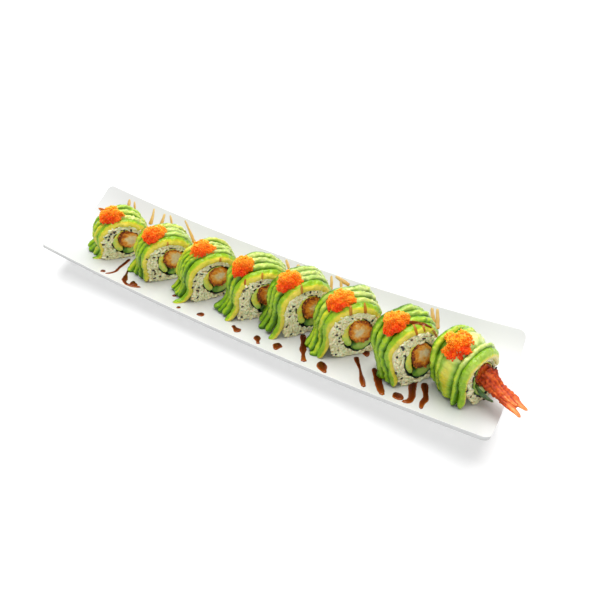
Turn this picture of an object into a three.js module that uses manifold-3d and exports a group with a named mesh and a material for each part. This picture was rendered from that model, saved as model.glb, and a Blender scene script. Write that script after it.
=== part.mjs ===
// A long curved porcelain plate with a row of eight pieces cut from an inside-out sushi roll.
// Every piece is a slice of roll standing on its side of seaweed-wrapped fried prawn, avocado and
// cucumber in a thick coat of rice, under a blanket of fanned avocado slices with a spoon of roe on top.
// Millimetres. The origin is the middle of the plate's foot, +X runs along the plate, +Z is up.
import * as THREE from "three";
import { mergeVertices } from "three/addons/utils/BufferGeometryUtils.js";
import Module from "manifold-3d";

const wasm = await Module();
wasm.setup();

// ---------------------------------------------------------------- driving dimensions

const GAP = 0.3; // clearance between things that touch

const PLATE = {
  length: 400, // between the middles of the two short edges' corners
  width: 92.5,
  sweep: 12.8, // how far the two ends rise above the middle
  dish: 14.8, // depth of the trough below the long rims
  bow: 0.5, // the long edges draw in this much at mid-length
  bulge: 2.4, // the short edges swell this much at mid-width
  wall: 5,
  crest: 1.3, // rounding of the rim
  corner: 8,
  footLength: 210,
  footWidth: 48,
  footCorner: 12,
  footHeight: 2.7, // under the lowest point of the wall
};
const CENTRE_Z = PLATE.footHeight + PLATE.wall + PLATE.dish; // height of the long rims at mid-length

// One entry for each piece, from the far end of the plate to the near end. x and y are the foot of
// its front cut, yaw turns that cut, halfWidth and height are over the avocado and slices is the
// number of slices along it. The near ends of the slices spread by toe on the plate and are drawn
// forward by forward, from the front slice to the back one. The rice spreads by foot on the near
// side and its front cut slumps forward by slump. roe is where the spoon of roe lies, across from
// the middle and back from the front cut. The last piece is the end of the roll, so its coat, its
// fillings and the far ends of its slices have values of their own.
const PIECES = [
  {
    ...{ x: -133, y: -10, yaw: 37, halfWidth: 24, height: 43, depth: 24, slices: 4 },
    ...{ toe: [4.5, 9], forward: [-2, 1], foot: 4.5, slump: 0.5, roe: [-2.5, 10] },
  },
  {
    ...{ x: -82, y: -10, yaw: 36, halfWidth: 24.5, height: 45.5, depth: 23, slices: 4 },
    ...{ toe: [2.5, 10], forward: [2.5, 0], foot: 2, slump: 1.5, roe: [-4, 10] },
  },
  {
    ...{ x: -35.5, y: -8.5, yaw: 33.5, halfWidth: 24.5, height: 45.5, depth: 24, slices: 5 },
    ...{ toe: [12.5, 8], forward: [-1, 0], foot: 4.5, slump: 1.5, roe: [-1, 11] },
  },
  {
    ...{ x: 11, y: -6.5, yaw: 42, halfWidth: 24.5, height: 46.5, depth: 24, slices: 4 },
    ...{ toe: [12, 14.5], forward: [3, 5], foot: 5, slump: 3.5, roe: [-8, 12] },
  },
  {
    ...{ x: 50, y: -4, yaw: 36.5, halfWidth: 24, height: 49, depth: 22, slices: 4 },
    ...{ toe: [11, 8.5], forward: [3, -3], foot: 4.5, slump: 4, roe: [-7, 9] },
  },
  {
    ...{ x: 92, y: -8, yaw: 45.5, halfWidth: 24, height: 48.5, depth: 23, slices: 4 },
    ...{ toe: [9.5, 8.5], forward: [4, 6], foot: 1, slump: 5.5, roe: [-4.5, 9] },
  },
  {
    ...{ x: 139.5, y: -11, yaw: 37, halfWidth: 22, height: 51, depth: 23, slices: 4 },
    ...{ toe: [0, 1.5], forward: [7.5, 15], foot: -1, slump: 8, roe: [-7, 11] },
  },
  {
    ...{ x: 183, y: -8.4, yaw: 25, halfWidth: 19, height: 44.2, depth: 28, slices: 4 },
    ...{ toe: [4, -2], forward: [2, 5], foot: -2.5, slump: 8, roe: [-4, 12.4] },
    ...{ riceInset: 2, farFoot: 20, split: 150 },
    prawn: { across: 2.5, up: 24, halfWidth: 8.8, halfHeight: 9.6 },
  },
];
const ROUNDNESS = 0.93; // power of the sine and cosine round the top of a roll
const SQUARENESS = 0.59; // and round its foot
const SHOULDER = 1.05; // the widest place of a roll is this many half widths below its top
const SLICE_DEPTH = 4.6; // thickness of the avocado blanket
const GROOVE = 1.9; // how deep the joints between its slices are
const JOINT_WANDER = 0.5; // how far a joint strays along the roll
const FLARE = 2.2; // power by which everything spreads on its way down to the plate
const FAR_TOE = 0.35; // spread of a slice's far end as a share of its near end's
const TOE_JITTER = 1.2; // unevenness of the spread from slice to slice
const HOLLOW_SHARE = 0.5; // where the blanket's hollow lies between the rice's foot and the toes
const RICE_INSET = 0.8; // the top of the rice's cuts lies this far inside the blanket's

// The seaweed tube in the face of a piece, across and up from the foot of the cut, as shares of a
// roll 46 mm high and 24 mm half as wide.
const ROLL_HEIGHT = 46;
const ROLL_HALF_WIDTH = 24;
const SEAWEED = { across: 2.5, up: 18.8, halfWidth: 12.6, halfHeight: 15, thickness: 0.8 };
const PRAWN = { across: 5.5, up: 22.6, halfWidth: 9.6, halfHeight: 10.8 };
const PRAWN_UNEVEN = 0.05; // roughness of the prawn's outline as a share of its radius
const FILLING_SPLIT = 232; // direction, in degrees, in which the avocado ends and the cucumber begins
const PROUD = { prawn: 0.8, avocado: 0.4, cucumber: 0.1, seaweed: 0.1 }; // out of the rice's cuts

const GRAIN = { length: 6, width: 2.3 };
const SEED = { length: 3, width: 1.7, thickness: 1.1 };
const GRAINS_ON_A_CUT = 6;
const SEEDS_ON_A_CUT = 3;
const SPOTS = { from: 20, over: 230 }; // they lie round the coat between these directions, in degrees
const LOWEST_SPOT = 4; // and nothing stands out of a cut lower than this
const ROE = { radius: 9, rise: 6, sunk: 3, relief: 0.9 }; // its middle lies sunk below the crests
const SAUCE_HEIGHT = 1;

// Thick drops and runs of sauce along the near side: start x, y, end x, y and width.
const SAUCE = [
  [-129, -28, -126, -41, 3],
  [-108, -39, -96, -36, 4],
  [-50, -41, -48, -41, 4.5],
  [-31, -39, -28, -38, 5.5],
  [1, -37, 9, -40, 6],
  [22, -37, 27, -42, 4.5],
  [40, -39, 44, -38, 6.5],
  [62, -32, 67, -41, 5],
  [80, -39, 84, -43, 6],
  [120, -34, 128, -43, 4.5],
  [136, -39, 141, -38, 6],
  [145, -28, 148, -40, 5.5],
  [152, -24, 157, -41, 6],
];

const COLOUR = {
  porcelain: 0xf4f5f3,
  rice: 0xe9ece2,
  seaweed: 0x1d2620,
  prawn: 0xd98a3c,
  avocadoSkin: 0x8fc040,
  avocadoFlesh: 0xd6d860,
  cucumber: 0x9cbf6a,
  roe: 0xff6a1c,
};

// ---------------------------------------------------------------- helpers

const radians = THREE.MathUtils.degToRad;

// A repeatable value between -1 and 1 for any whole number.
function jitter(n) {
  const value = Math.sin(n * 127.1 + 11.7) * 43758.5453;
  return 2 * (value - Math.floor(value)) - 1;
}

// A closed three.js geometry as a solid that can be joined and cut.
function solidOf(geometry) {
  const bare = geometry.clone();
  bare.deleteAttribute("normal");
  bare.deleteAttribute("uv");
  const merged = mergeVertices(bare, 1e-4);
  const vertProperties = merged.attributes.position.array;
  const triVerts = new Uint32Array(merged.index.array);
  return new wasm.Manifold(new wasm.Mesh({ numProp: 3, vertProperties, triVerts }));
}

function geometryOf(solid) {
  const mesh = solid.getMesh();
  const corners = new Float32Array(mesh.numVert * 3);
  for (let i = 0; i < mesh.numVert; i++) {
    const start = i * mesh.numProp;
    corners.set(mesh.vertProperties.subarray(start, start + 3), i * 3);
  }
  const geometry = new THREE.BufferGeometry();
  geometry.setAttribute("position", new THREE.BufferAttribute(corners, 3));
  geometry.setIndex(new THREE.BufferAttribute(new Uint32Array(mesh.triVerts), 1));
  geometry.computeVertexNormals();
  return geometry;
}

// The largest body of a solid, so that a scrap left by a cut is dropped.
function mainBody(solid) {
  const bodies = solid.decompose();
  return bodies.reduce((best, body) => (body.volume() > best.volume() ? body : best));
}

// A closed skin through rings of points. Ring 0 is at the front and its points run anticlockwise
// as seen from there; pointAt(k, j) places point k of ring j and centreAt(j) closes each end.
function loft(sides, rings, pointAt, centreAt) {
  const geometry = new THREE.CylinderGeometry(1, 1, rings - 1, sides, rings - 1);
  const position = geometry.attributes.position;
  for (let i = 0; i < position.count; i++) {
    const x = position.getX(i);
    const z = position.getZ(i);
    const j = Math.round((rings - 1) / 2 - position.getY(i));
    const turn = Math.atan2(x, z) / (2 * Math.PI);
    const k = (Math.round(turn * sides) + sides) % sides;
    const point = Math.hypot(x, z) < 0.5 ? centreAt(j) : pointAt(k, j);
    position.setXYZ(i, ...point);
  }
  return geometry;
}

// A grain or seed, a stretched octahedron turned in the face of a cut.
function speck(radii, centre, turn) {
  const geometry = new THREE.OctahedronGeometry(1);
  geometry.scale(...radii);
  geometry.rotateZ(turn);
  geometry.translate(...centre);
  return solidOf(geometry);
}

function meshOf(name, solid, colour, roughness) {
  const material = new THREE.MeshStandardMaterial({ color: colour, roughness, metalness: 0 });
  const mesh = new THREE.Mesh(geometryOf(mainBody(solid)), material);
  mesh.name = name;
  return mesh;
}

// ---------------------------------------------------------------- plate

const CELLS = { along: 12, across: 6, corner: 2 };

// The height of the plate's upper face: a trough whose ends sweep up.
function plateHeight(x, y) {
  const along = (2 * x) / PLATE.length;
  const across = (2 * y) / PLATE.width;
  return CENTRE_Z + PLATE.sweep * along ** 2 - PLATE.dish * (1 - across ** 2);
}

// Grid line i of a side that has corner cells at both ends, from -half to +half, with how far into
// the corner it lies, from 0 to 1.
function gridLine(i, cells, half) {
  const last = cells + 2 * CELLS.corner;
  const straight = half - PLATE.corner;
  const side = i < last / 2 ? -1 : 1;
  const fromEnd = side < 0 ? i : last - i;
  if (fromEnd < CELLS.corner) {
    return { at: side * straight, side, corner: 1 - fromEnd / CELLS.corner };
  }
  return { at: -straight + (2 * straight * (i - CELLS.corner)) / cells, side, corner: 0 };
}

// A grid point of the plate's outline, drawn in by inset; the corner cells map onto quarter discs.
function platePoint(i, j, inset) {
  const u = gridLine(i, CELLS.along, PLATE.length / 2);
  const v = gridLine(j, CELLS.across, PLATE.width / 2);
  const radius = PLATE.corner - inset;
  const x = u.at + u.side * radius * u.corner * Math.sqrt(1 - v.corner ** 2 / 2);
  const y = v.at + v.side * radius * v.corner * Math.sqrt(1 - u.corner ** 2 / 2);
  const along = (2 * x) / PLATE.length;
  const across = (2 * y) / PLATE.width;
  const swell = PLATE.bulge * (1 - across ** 2) * Math.sign(x) * along ** 2;
  const drawn = PLATE.bow * (1 - along ** 2) * across;
  return [x + swell, y - drawn];
}

// A slab over the plate's grid: layers[k] gives layer k's inset and its height at a place.
function plateSlab(layers) {
  const nx = CELLS.along + 2 * CELLS.corner;
  const ny = CELLS.across + 2 * CELLS.corner;
  const nz = layers.length - 1;
  const geometry = new THREE.BoxGeometry(nx, ny, nz, nx, ny, nz);
  const position = geometry.attributes.position;
  for (let n = 0; n < position.count; n++) {
    const i = Math.round(position.getX(n) + nx / 2);
    const j = Math.round(position.getY(n) + ny / 2);
    const layer = layers[Math.round(nz / 2 - position.getZ(n))];
    const [x, y] = platePoint(i, j, layer.inset);
    position.setXYZ(n, x, y, layer.height(x, y));
  }
  return geometry;
}

const OVER_ALL = 120;
// Everything higher than the plate's upper face plus a gap.
function spaceAbove(gap) {
  return plateSlab([
    { inset: 0, height: () => OVER_ALL },
    { inset: 0, height: (x, y) => plateHeight(x, y) + gap },
  ]);
}

function plateWall() {
  const under = (drop) => (x, y) => plateHeight(x, y) - drop;
  return plateSlab([
    { inset: PLATE.crest, height: under(0) },
    { inset: 0, height: under(PLATE.crest) },
    { inset: 0, height: under(PLATE.wall - PLATE.crest) },
    { inset: PLATE.crest, height: under(PLATE.wall) },
  ]);
}

function plateFoot() {
  const x = PLATE.footLength / 2;
  const y = PLATE.footWidth / 2;
  const r = PLATE.footCorner;
  const outline = new THREE.Shape();
  outline.moveTo(-x + r, -y).lineTo(x - r, -y).absarc(x - r, -y + r, r, -Math.PI / 2, 0);
  outline.lineTo(x, y - r).absarc(x - r, y - r, r, 0, Math.PI / 2);
  outline.lineTo(-x + r, y).absarc(-x + r, y - r, r, Math.PI / 2, Math.PI);
  outline.lineTo(-x, -y + r).absarc(-x + r, -y + r, r, Math.PI, 1.5 * Math.PI);
  return new THREE.ExtrudeGeometry(outline, { depth: CENTRE_Z, bevelEnabled: false, curveSegments: 3 });
}

// One low dome of sauce from one place to another, lying on the slope of the plate.
function sauceDrop([x0, y0, x1, y1, width]) {
  const x = (x0 + x1) / 2;
  const y = (y0 + y1) / 2;
  const slope = Math.atan((8 * PLATE.dish * y) / PLATE.width ** 2);
  const length = Math.hypot(x1 - x0, y1 - y0) + width;
  const geometry = new THREE.SphereGeometry(1, 6, 3);
  geometry.rotateX(Math.PI / 2);
  geometry.scale(length / 2, width / 2, SAUCE_HEIGHT);
  geometry.rotateZ(Math.atan2(y1 - y0, x1 - x0));
  geometry.rotateX(slope);
  geometry.translate(x, y, plateHeight(x, y));
  return geometry;
}

function plateSolid() {
  const upperHalf = solidOf(spaceAbove(-PLATE.wall / 2));
  let plate = solidOf(plateWall()).add(solidOf(plateFoot()).subtract(upperHalf));
  for (const drop of SAUCE) {
    plate = plate.add(solidOf(sauceDrop(drop)));
  }
  return plate;
}

// ---------------------------------------------------------------- pieces of roll
// A piece is made in its own frame: x across the cut, y up, and z forwards out of the front cut.

const THROUGH = 15; // how far a cutting column reaches past both cuts
const RICE_SIDES = 18;
const COLUMN_SIDES = 16;
const PRAWN_SIDES = 14;
const LEG_SHARES = [0, 0.42, 0.66]; // points of the blanket's legs, from the foot to the widest place
const ARCH_POINTS = RICE_SIDES / 2 + 1 + 2 * LEG_SHARES.length; // far foot, over the top, near foot
const ARCH_FOOT = -4; // the legs are drawn down to here and then cut to the plate
const RICE_FOOT = -1.5; // and the rice to here
const TOE_HEIGHT = 7; // where the toes lie on the plate, which rises on both sides of its middle

// The cross-section of one slice along the roll: how far along its pitch, and how full, at its
// joint, its crest and its shoulder. The blanket's two end faces are fuller than a joint.
const RIB = [
  { at: 0, fill: 0.35 },
  { at: 0.42, fill: 1 },
  { at: 0.8, fill: 0.8 },
];
const FRONT_FILL = 0.7;
const BACK_FILL = 0.4;
const INSIDE_ARCH = [0, 10]; // a point well inside every arch, where its end faces are closed

function coreOf(piece) {
  const inner = SLICE_DEPTH + GAP;
  const halfWidth = piece.halfWidth - inner;
  const top = piece.height - inner;
  return { halfWidth, top, middle: top - halfWidth * SHOULDER };
}

// How far down from the widest place of a piece to its toes a height is, from 0 to 1.
function footShare(piece, up) {
  const { middle } = coreOf(piece);
  return THREE.MathUtils.clamp((middle - up) / (middle - TOE_HEIGHT), 0, 1);
}

// The rice's outline: round over the top, squarer and spread where it sits.
function riceOutline(piece, turn, grow) {
  const { halfWidth, top, middle } = coreOf(piece);
  const c = Math.cos(turn);
  const s = Math.sin(turn);
  const power = s > 0 ? ROUNDNESS : SQUARENESS;
  const rise = s > 0 ? top - middle : middle - RICE_FOOT;
  const across = (halfWidth + grow) * Math.sign(c) * Math.abs(c) ** power;
  const up = middle + (rise + grow) * Math.sign(s) * Math.abs(s) ** power;
  return [c < 0 ? across - piece.foot * footShare(piece, up) ** FLARE : across, up];
}

// Point k of an arch that stands on two legs: far foot, over the top, near foot. Its legs spread
// by near and far on the plate.
function archPoint(piece, k, grow, near = 0, far = 0) {
  const { halfWidth, top, middle } = coreOf(piece);
  const last = ARCH_POINTS - 1;
  const side = k < last / 2 ? 1 : -1;
  const fromFoot = Math.min(k, last - k);
  const legPoints = LEG_SHARES.length;
  if (fromFoot < legPoints) {
    const foot = (side > 0 && piece.farFoot) || ARCH_FOOT;
    const up = foot + (middle - foot) * LEG_SHARES[fromFoot];
    const spread = (side > 0 ? far : near) * footShare(piece, up) ** FLARE;
    return [side * (halfWidth + grow + spread), up];
  }
  const turn = (Math.PI * (k - legPoints)) / (last - 2 * legPoints);
  return [
    (halfWidth + grow) * Math.sign(Math.cos(turn)) * Math.abs(Math.cos(turn)) ** ROUNDNESS,
    middle + (top - middle + grow) * Math.sin(turn) ** ROUNDNESS,
  ];
}

const between = ([front, back], share) => front + (back - front) * share;

// The outside of the avocado blanket as a solid loaf with a rib for every slice. Its joints wander
// a little, and no two slices spread alike where they reach the plate.
function blanketLoaf(piece, index) {
  const rings = piece.slices * RIB.length;
  const pitch = piece.depth / piece.slices;
  const at = (j) => {
    if (j === rings) {
      return { rib: piece.slices - 1, depth: piece.depth, fill: BACK_FILL };
    }
    const rib = Math.floor(j / RIB.length);
    const step = RIB[j % RIB.length];
    return { rib, depth: (rib + step.at) * pitch, fill: j === 0 ? FRONT_FILL : step.fill };
  };
  const pointAt = (k, j) => {
    const { rib, depth, fill } = at(j);
    const grow = GAP + SLICE_DEPTH - GROOVE * (1 - fill);
    const near = between(piece.toe, j / rings) + TOE_JITTER * jitter(index * 17 + rib * 3);
    const [across, up] = archPoint(piece, k, grow, near, FAR_TOE * near);
    const wander = j === 0 || j === rings ? 0 : JOINT_WANDER * jitter(index * 31 + rib * 7 + k);
    const drawn = across < 0 ? between(piece.forward, j / rings) * footShare(piece, up) : 0;
    return [across, up, drawn - depth - wander];
  };
  return loft(ARCH_POINTS, rings + 1, pointAt, (j) => [...INSIDE_ARCH, -at(j).depth]);
}

// A point of the arch that clears the crests of the blanket's slices.
function crestPoint(piece, k) {
  return archPoint(piece, k, SLICE_DEPTH + 2 * GAP);
}

// The hollow of the blanket, which stands a gap clear of the rice.
function blanketHollow(piece) {
  const ends = [THROUGH, -piece.depth - THROUGH];
  const pointAt = (k, j) => {
    const near = between([piece.foot, piece.toe[j]], HOLLOW_SHARE);
    const [across, up] = archPoint(piece, k, GAP, near);
    const isFoot = k === 0 || k === ARCH_POINTS - 1;
    return [across, isFoot ? up - THROUGH : up, ends[j]];
  };
  return loft(ARCH_POINTS, 2, pointAt, (j) => [...INSIDE_ARCH, ends[j]]);
}

// The middle of a filling on the cut, scaled to the piece.
function placeOf(piece, shape) {
  return [(shape.across * piece.halfWidth) / ROLL_HALF_WIDTH, (shape.up * piece.height) / ROLL_HEIGHT];
}

function sizeOf(piece, shape) {
  const wide = (shape.halfWidth * piece.halfWidth) / ROLL_HALF_WIDTH;
  return [wide, (shape.halfHeight * piece.height) / ROLL_HEIGHT];
}

// How far forward a cut of the rice is at a height: j is 0 on the front cut and 1 on the back one.
function cutAt(piece, height, j, proud) {
  const out = proud - (piece.riceInset ?? RICE_INSET);
  const slump = piece.slump * (1 - height / piece.height);
  return j === 0 ? out + slump : -piece.depth - out;
}

// A column along the roll whose section is an ellipse in the face of the piece, as a solid.
function column(piece, shape, grow, proud, uneven = 0, sides = COLUMN_SIDES) {
  const [across, up] = placeOf(piece, shape);
  const [wide, high] = sizeOf(piece, shape).map((half) => half + grow);
  const pointAt = (k, j) => {
    const turn = (2 * Math.PI * k) / sides;
    const rough = 1 + uneven * jitter(k * 5 + Math.round(piece.x));
    const height = up + high * rough * Math.sin(turn);
    return [across + wide * rough * Math.cos(turn), height, cutAt(piece, height, j, proud)];
  };
  return solidOf(loft(sides, 2, pointAt, (j) => [across, up, cutAt(piece, up, j, proud)]));
}

function prawnOf(piece) {
  return piece.prawn ?? PRAWN;
}

// Half of space, beside a plane that runs along the roll through the middle of the prawn.
function besidePrawn(piece, degrees) {
  const reach = 60;
  const geometry = new THREE.BoxGeometry(2 * reach, reach, 4 * reach);
  geometry.translate(0, (reach + GAP) / 2, 0);
  geometry.rotateZ(radians(degrees));
  geometry.translate(...placeOf(piece, prawnOf(piece)), 0);
  return solidOf(geometry);
}

// Places on a cut between the seaweed and the blanket, from low on the near side over the top.
function coatSpots(piece, count, margin, draw) {
  const [across, up] = placeOf(piece, SEAWEED);
  const [wide, high] = sizeOf(piece, SEAWEED);
  const spots = [];
  for (let i = 0; i < count; i++) {
    const turn = radians(SPOTS.from + (SPOTS.over * (i + 0.5)) / count + 5 * jitter(i + draw));
    const outer = riceOutline(piece, turn, -margin);
    const inner = [across + (wide + margin) * Math.cos(turn), up + (high + margin) * Math.sin(turn)];
    const room = Math.hypot(outer[0] - across, outer[1] - up) - Math.hypot(inner[0] - across, inner[1] - up);
    const share = 0.5 + 0.5 * jitter(3 * i + draw);
    if (room > 0) {
      spots.push({
        across: inner[0] + (outer[0] - inner[0]) * share,
        up: inner[1] + (outer[1] - inner[1]) * share,
        turn,
      });
    }
  }
  return spots.filter((spot) => spot.up > LOWEST_SPOT);
}

// The coat of rice round the seaweed, with the grains and seeds that stand out of its two cuts.
function riceSolid(piece, index) {
  const pointAt = (k, j) => {
    const [across, up] = riceOutline(piece, (2 * Math.PI * k) / RICE_SIDES, 0);
    return [across, up, cutAt(piece, up, j, 0)];
  };
  const middle = piece.height / 3;
  let rice = solidOf(loft(RICE_SIDES, 2, pointAt, (j) => [0, middle, cutAt(piece, middle, j, 0)]));
  for (const j of [0, 1]) {
    const draw = index * 40 + j * 20;
    for (const spot of coatSpots(piece, GRAINS_ON_A_CUT, GRAIN.length / 2, draw)) {
      const radii = [GRAIN.length / 2, GRAIN.width / 2, GRAIN.width / 2];
      const turn = spot.turn + Math.PI * jitter(draw + spot.up);
      const centre = [spot.across, spot.up, cutAt(piece, spot.up, j, 0)];
      rice = rice.add(speck(radii, centre, turn));
    }
    for (const spot of coatSpots(piece, SEEDS_ON_A_CUT, SEED.length / 2, draw + 9)) {
      const radii = [SEED.length / 2, SEED.width / 2, SEED.thickness];
      const centre = [spot.across, spot.up, cutAt(piece, spot.up, j, 0)];
      rice = rice.add(speck(radii, centre, spot.turn));
    }
  }
  return rice.subtract(column(piece, SEAWEED, GAP, THROUGH));
}

// The seaweed tube and the three fillings that share its inside, a gap apart.
function fillingSolids(piece) {
  const inside = (proud) => column(piece, SEAWEED, -SEAWEED.thickness - GAP, proud);
  const prawnColumn = (grow) => column(piece, prawnOf(piece), grow, THROUGH, PRAWN_UNEVEN, PRAWN_SIDES);
  const tube = column(piece, SEAWEED, 0, PROUD.seaweed);
  const bore = column(piece, SEAWEED, -SEAWEED.thickness, THROUGH);
  const split = piece.split ?? FILLING_SPLIT;
  const aroundPrawn = (proud, degrees) =>
    inside(proud).subtract(prawnColumn(GAP)).intersect(besidePrawn(piece, degrees));
  return {
    seaweed: tube.subtract(bore),
    prawn: prawnColumn(0).intersect(inside(PROUD.prawn)),
    avocado_filling: aroundPrawn(PROUD.avocado, split - 180),
    cucumber: aroundPrawn(PROUD.cucumber, split),
  };
}

// A tapering piece through elliptical rings: each has a middle, half its width and thickness, and a turn.
function taper(sides, rings) {
  const pointAt = (k, j) => {
    const { at, wide, thick, turn = 0 } = rings[j];
    const angle = (2 * Math.PI * k) / sides;
    const a = wide * Math.cos(angle);
    const b = thick * Math.sin(angle);
    return [
      at[0] + a * Math.cos(turn) - b * Math.sin(turn),
      at[1] + a * Math.sin(turn) + b * Math.cos(turn),
      at[2],
    ];
  };
  return solidOf(loft(sides, rings.length, pointAt, (j) => rings[j].at));
}

// The battered end of the last piece's prawn with the two fins of its tail, out of the front.
function frontTail() {
  const stem = taper(8, [
    { at: [2.6, 18, 20], wide: 3.6, thick: 2.6 },
    { at: [2.8, 18.4, 15], wide: 4.8, thick: 3.6 },
    { at: [3, 19.6, 9], wide: 6.6, thick: 5.2 },
    { at: [3, 21, 5.5], wide: 7.4, thick: 6.4 },
    { at: [2.4, 22, 3], wide: 5.8, thick: 6 },
    { at: [2.2, 22.5, -3], wide: 5.4, thick: 6 },
  ]);
  const fin = (side) =>
    taper(6, [
      { at: [-0.4 + side * 3.3, 19.4 + side * 0.6, 36], wide: 1, thick: 0.4, turn: 0.4 },
      { at: [0.2 + side * 2.9, 19 + side * 0.5, 31], wide: 2.4, thick: 0.7, turn: 0.4 },
      { at: [1 + side * 2, 18.6 + side * 0.4, 25], wide: 2.7, thick: 1, turn: 0.4 },
      { at: [2.4 + side, 18.2, 16], wide: 2.2, thick: 1.4, turn: 0.4 },
    ]);
  return stem.add(fin(-1)).add(fin(1));
}

// The curled tail of the first piece's prawn, out of its back.
function backTail(piece) {
  const back = -piece.depth;
  return taper(8, [
    { at: [4, 20, back + 4], wide: 4.5, thick: 4.5 },
    { at: [-1, 24, back - 4], wide: 3.6, thick: 3 },
    { at: [-7, 31, back - 7], wide: 3.4, thick: 1.4, turn: 0.8 },
    { at: [-12, 36, back - 9], wide: 1.4, thick: 0.7, turn: 0.8 },
  ]);
}

// The end of the last piece's strip of cucumber, which hangs out of the front.
function cucumberEnd() {
  return taper(6, [
    { at: [0.5, 5.5, 14], wide: 0.8, thick: 0.5, turn: 1 },
    { at: [-5.5, 14.5, 9.5], wide: 2, thick: 0.9, turn: 1 },
    { at: [-6.4, 18, 6], wide: 1.8, thick: 0.7, turn: 1.3 },
    { at: [-5.6, 18, 3], wide: 1.5, thick: 0.5, turn: 1.5 },
    { at: [-5.6, 18, -4], wide: 1.2, thick: 0.5, turn: 1.5 },
  ]);
}

// A spoon of roe pressed on the blanket, uneven all round.
function roeSolid(piece, index) {
  const [across, along] = piece.roe;
  const ends = [THROUGH, -piece.depth - THROUGH];
  const geometry = new THREE.IcosahedronGeometry(1, 2);
  const position = geometry.attributes.position;
  for (let i = 0; i < position.count; i++) {
    const point = new THREE.Vector3().fromBufferAttribute(position, i);
    const cell = Math.round(7 * point.x) + 13 * Math.round(7 * point.y) + 29 * Math.round(7 * point.z);
    const swell = 1 + (ROE.relief / ROE.radius) * jitter(cell + 50 * index);
    point.multiply(new THREE.Vector3(ROE.radius, ROE.rise + ROE.sunk, ROE.radius)).multiplyScalar(swell);
    position.setXYZ(i, point.x + across, point.y + piece.height - ROE.sunk, point.z - along);
  }
  const crestAt = (k, j) => [...crestPoint(piece, k), ends[j]];
  const clearance = loft(ARCH_POINTS, 2, crestAt, (j) => [...INSIDE_ARCH, ends[j]]);
  return solidOf(geometry).subtract(solidOf(clearance));
}

// ---------------------------------------------------------------- assembly

// The frame of a piece: it stands on the trough's middle line and leans with the plate's sweep.
function frameOf(piece) {
  const slope = (8 * PLATE.sweep * piece.x) / PLATE.length ** 2;
  const up = new THREE.Vector3(-slope, 0, 1).normalize();
  const yaw = radians(piece.yaw);
  const across = new THREE.Vector3(Math.sin(yaw), Math.cos(yaw), 0);
  across.addScaledVector(up, -across.dot(up)).normalize();
  const front = new THREE.Vector3().crossVectors(across, up);
  const frame = new THREE.Matrix4().makeBasis(across, up, front);
  return frame.setPosition(piece.x, piece.y, plateHeight(piece.x, 0));
}

function pieceGroup(piece, index) {
  const group = new THREE.Group();
  const frame = frameOf(piece);
  frame.decompose(group.position, group.quaternion, group.scale);
  const room = solidOf(spaceAbove(GAP).applyMatrix4(frame.clone().invert()));
  const label = (part) => `piece_${index + 1}_${part}`;
  const fillings = fillingSolids(piece);
  if (index === 0) {
    fillings.prawn = fillings.prawn.add(backTail(piece));
  }
  if (piece === PIECES.at(-1)) {
    fillings.prawn = fillings.prawn.add(frontTail());
    fillings.cucumber = fillings.cucumber.add(cucumberEnd());
  }
  const blanket = solidOf(blanketLoaf(piece, index)).subtract(solidOf(blanketHollow(piece)));
  group.add(
    meshOf(label("rice"), riceSolid(piece, index).intersect(room), COLOUR.rice, 0.55),
    meshOf(label("seaweed"), fillings.seaweed, COLOUR.seaweed, 0.5),
    meshOf(label("prawn"), fillings.prawn, COLOUR.prawn, 0.6),
    meshOf(label("avocado_filling"), fillings.avocado_filling, COLOUR.avocadoFlesh, 0.45),
    meshOf(label("cucumber"), fillings.cucumber, COLOUR.cucumber, 0.35),
    meshOf(label("avocado_blanket"), blanket.intersect(room), COLOUR.avocadoSkin, 0.4),
    meshOf(label("roe"), roeSolid(piece, index), COLOUR.roe, 0.25),
  );
  return group;
}

const platter = new THREE.Group();
platter.add(meshOf("plate", plateSolid(), COLOUR.porcelain, 0.15));
PIECES.forEach((piece, index) => platter.add(pieceGroup(piece, index)));

export default platter;
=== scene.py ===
"""Eight avocado-topped prawn rolls on a long curved porcelain plate, as a Blender add-on run as a script.

The code works in millimetres, and a piece becomes metres when it is finished. The settings are in metres.
"""

import math
import random

import bmesh
import bpy
import numpy as np
from mathutils import Matrix, Vector, noise
from mathutils.bvhtree import BVHTree


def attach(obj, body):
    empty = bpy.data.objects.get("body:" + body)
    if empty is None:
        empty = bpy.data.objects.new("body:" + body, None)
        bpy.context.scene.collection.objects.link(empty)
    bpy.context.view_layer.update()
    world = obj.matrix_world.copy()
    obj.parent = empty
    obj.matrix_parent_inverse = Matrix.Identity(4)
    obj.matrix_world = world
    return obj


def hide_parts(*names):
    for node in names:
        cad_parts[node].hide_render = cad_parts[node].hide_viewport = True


bl_info = {
    "name": "Prawn Roll Platter",
    "version": (1, 0, 0),
    "blender": (4, 5, 0),
    "location": "View3D > Sidebar > Platter",
    "description": "Builds a plate of avocado-topped prawn roll piece by piece",
    "category": "Add Mesh",
}

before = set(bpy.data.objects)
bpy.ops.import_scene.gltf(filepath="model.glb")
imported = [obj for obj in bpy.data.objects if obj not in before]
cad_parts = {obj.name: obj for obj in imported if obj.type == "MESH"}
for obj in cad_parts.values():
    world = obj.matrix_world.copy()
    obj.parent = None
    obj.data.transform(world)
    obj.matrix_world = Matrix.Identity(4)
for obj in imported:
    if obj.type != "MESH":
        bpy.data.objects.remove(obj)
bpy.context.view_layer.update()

MM = 0.001
WELD = 1e-4

# ---------------------------------------------------------------- the platter's own sizes

# How far the slices stand off the rice, and the fillings off the prawn.
GAP = 0.3

PLATE_LENGTH = 400.0
PLATE_WIDTH = 92.5
PLATE_WALL = 5.0
# How much higher than the middle the ends and the long rims are.
PLATE_SWEEP = 12.8
PLATE_DISH = 14.8
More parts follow.
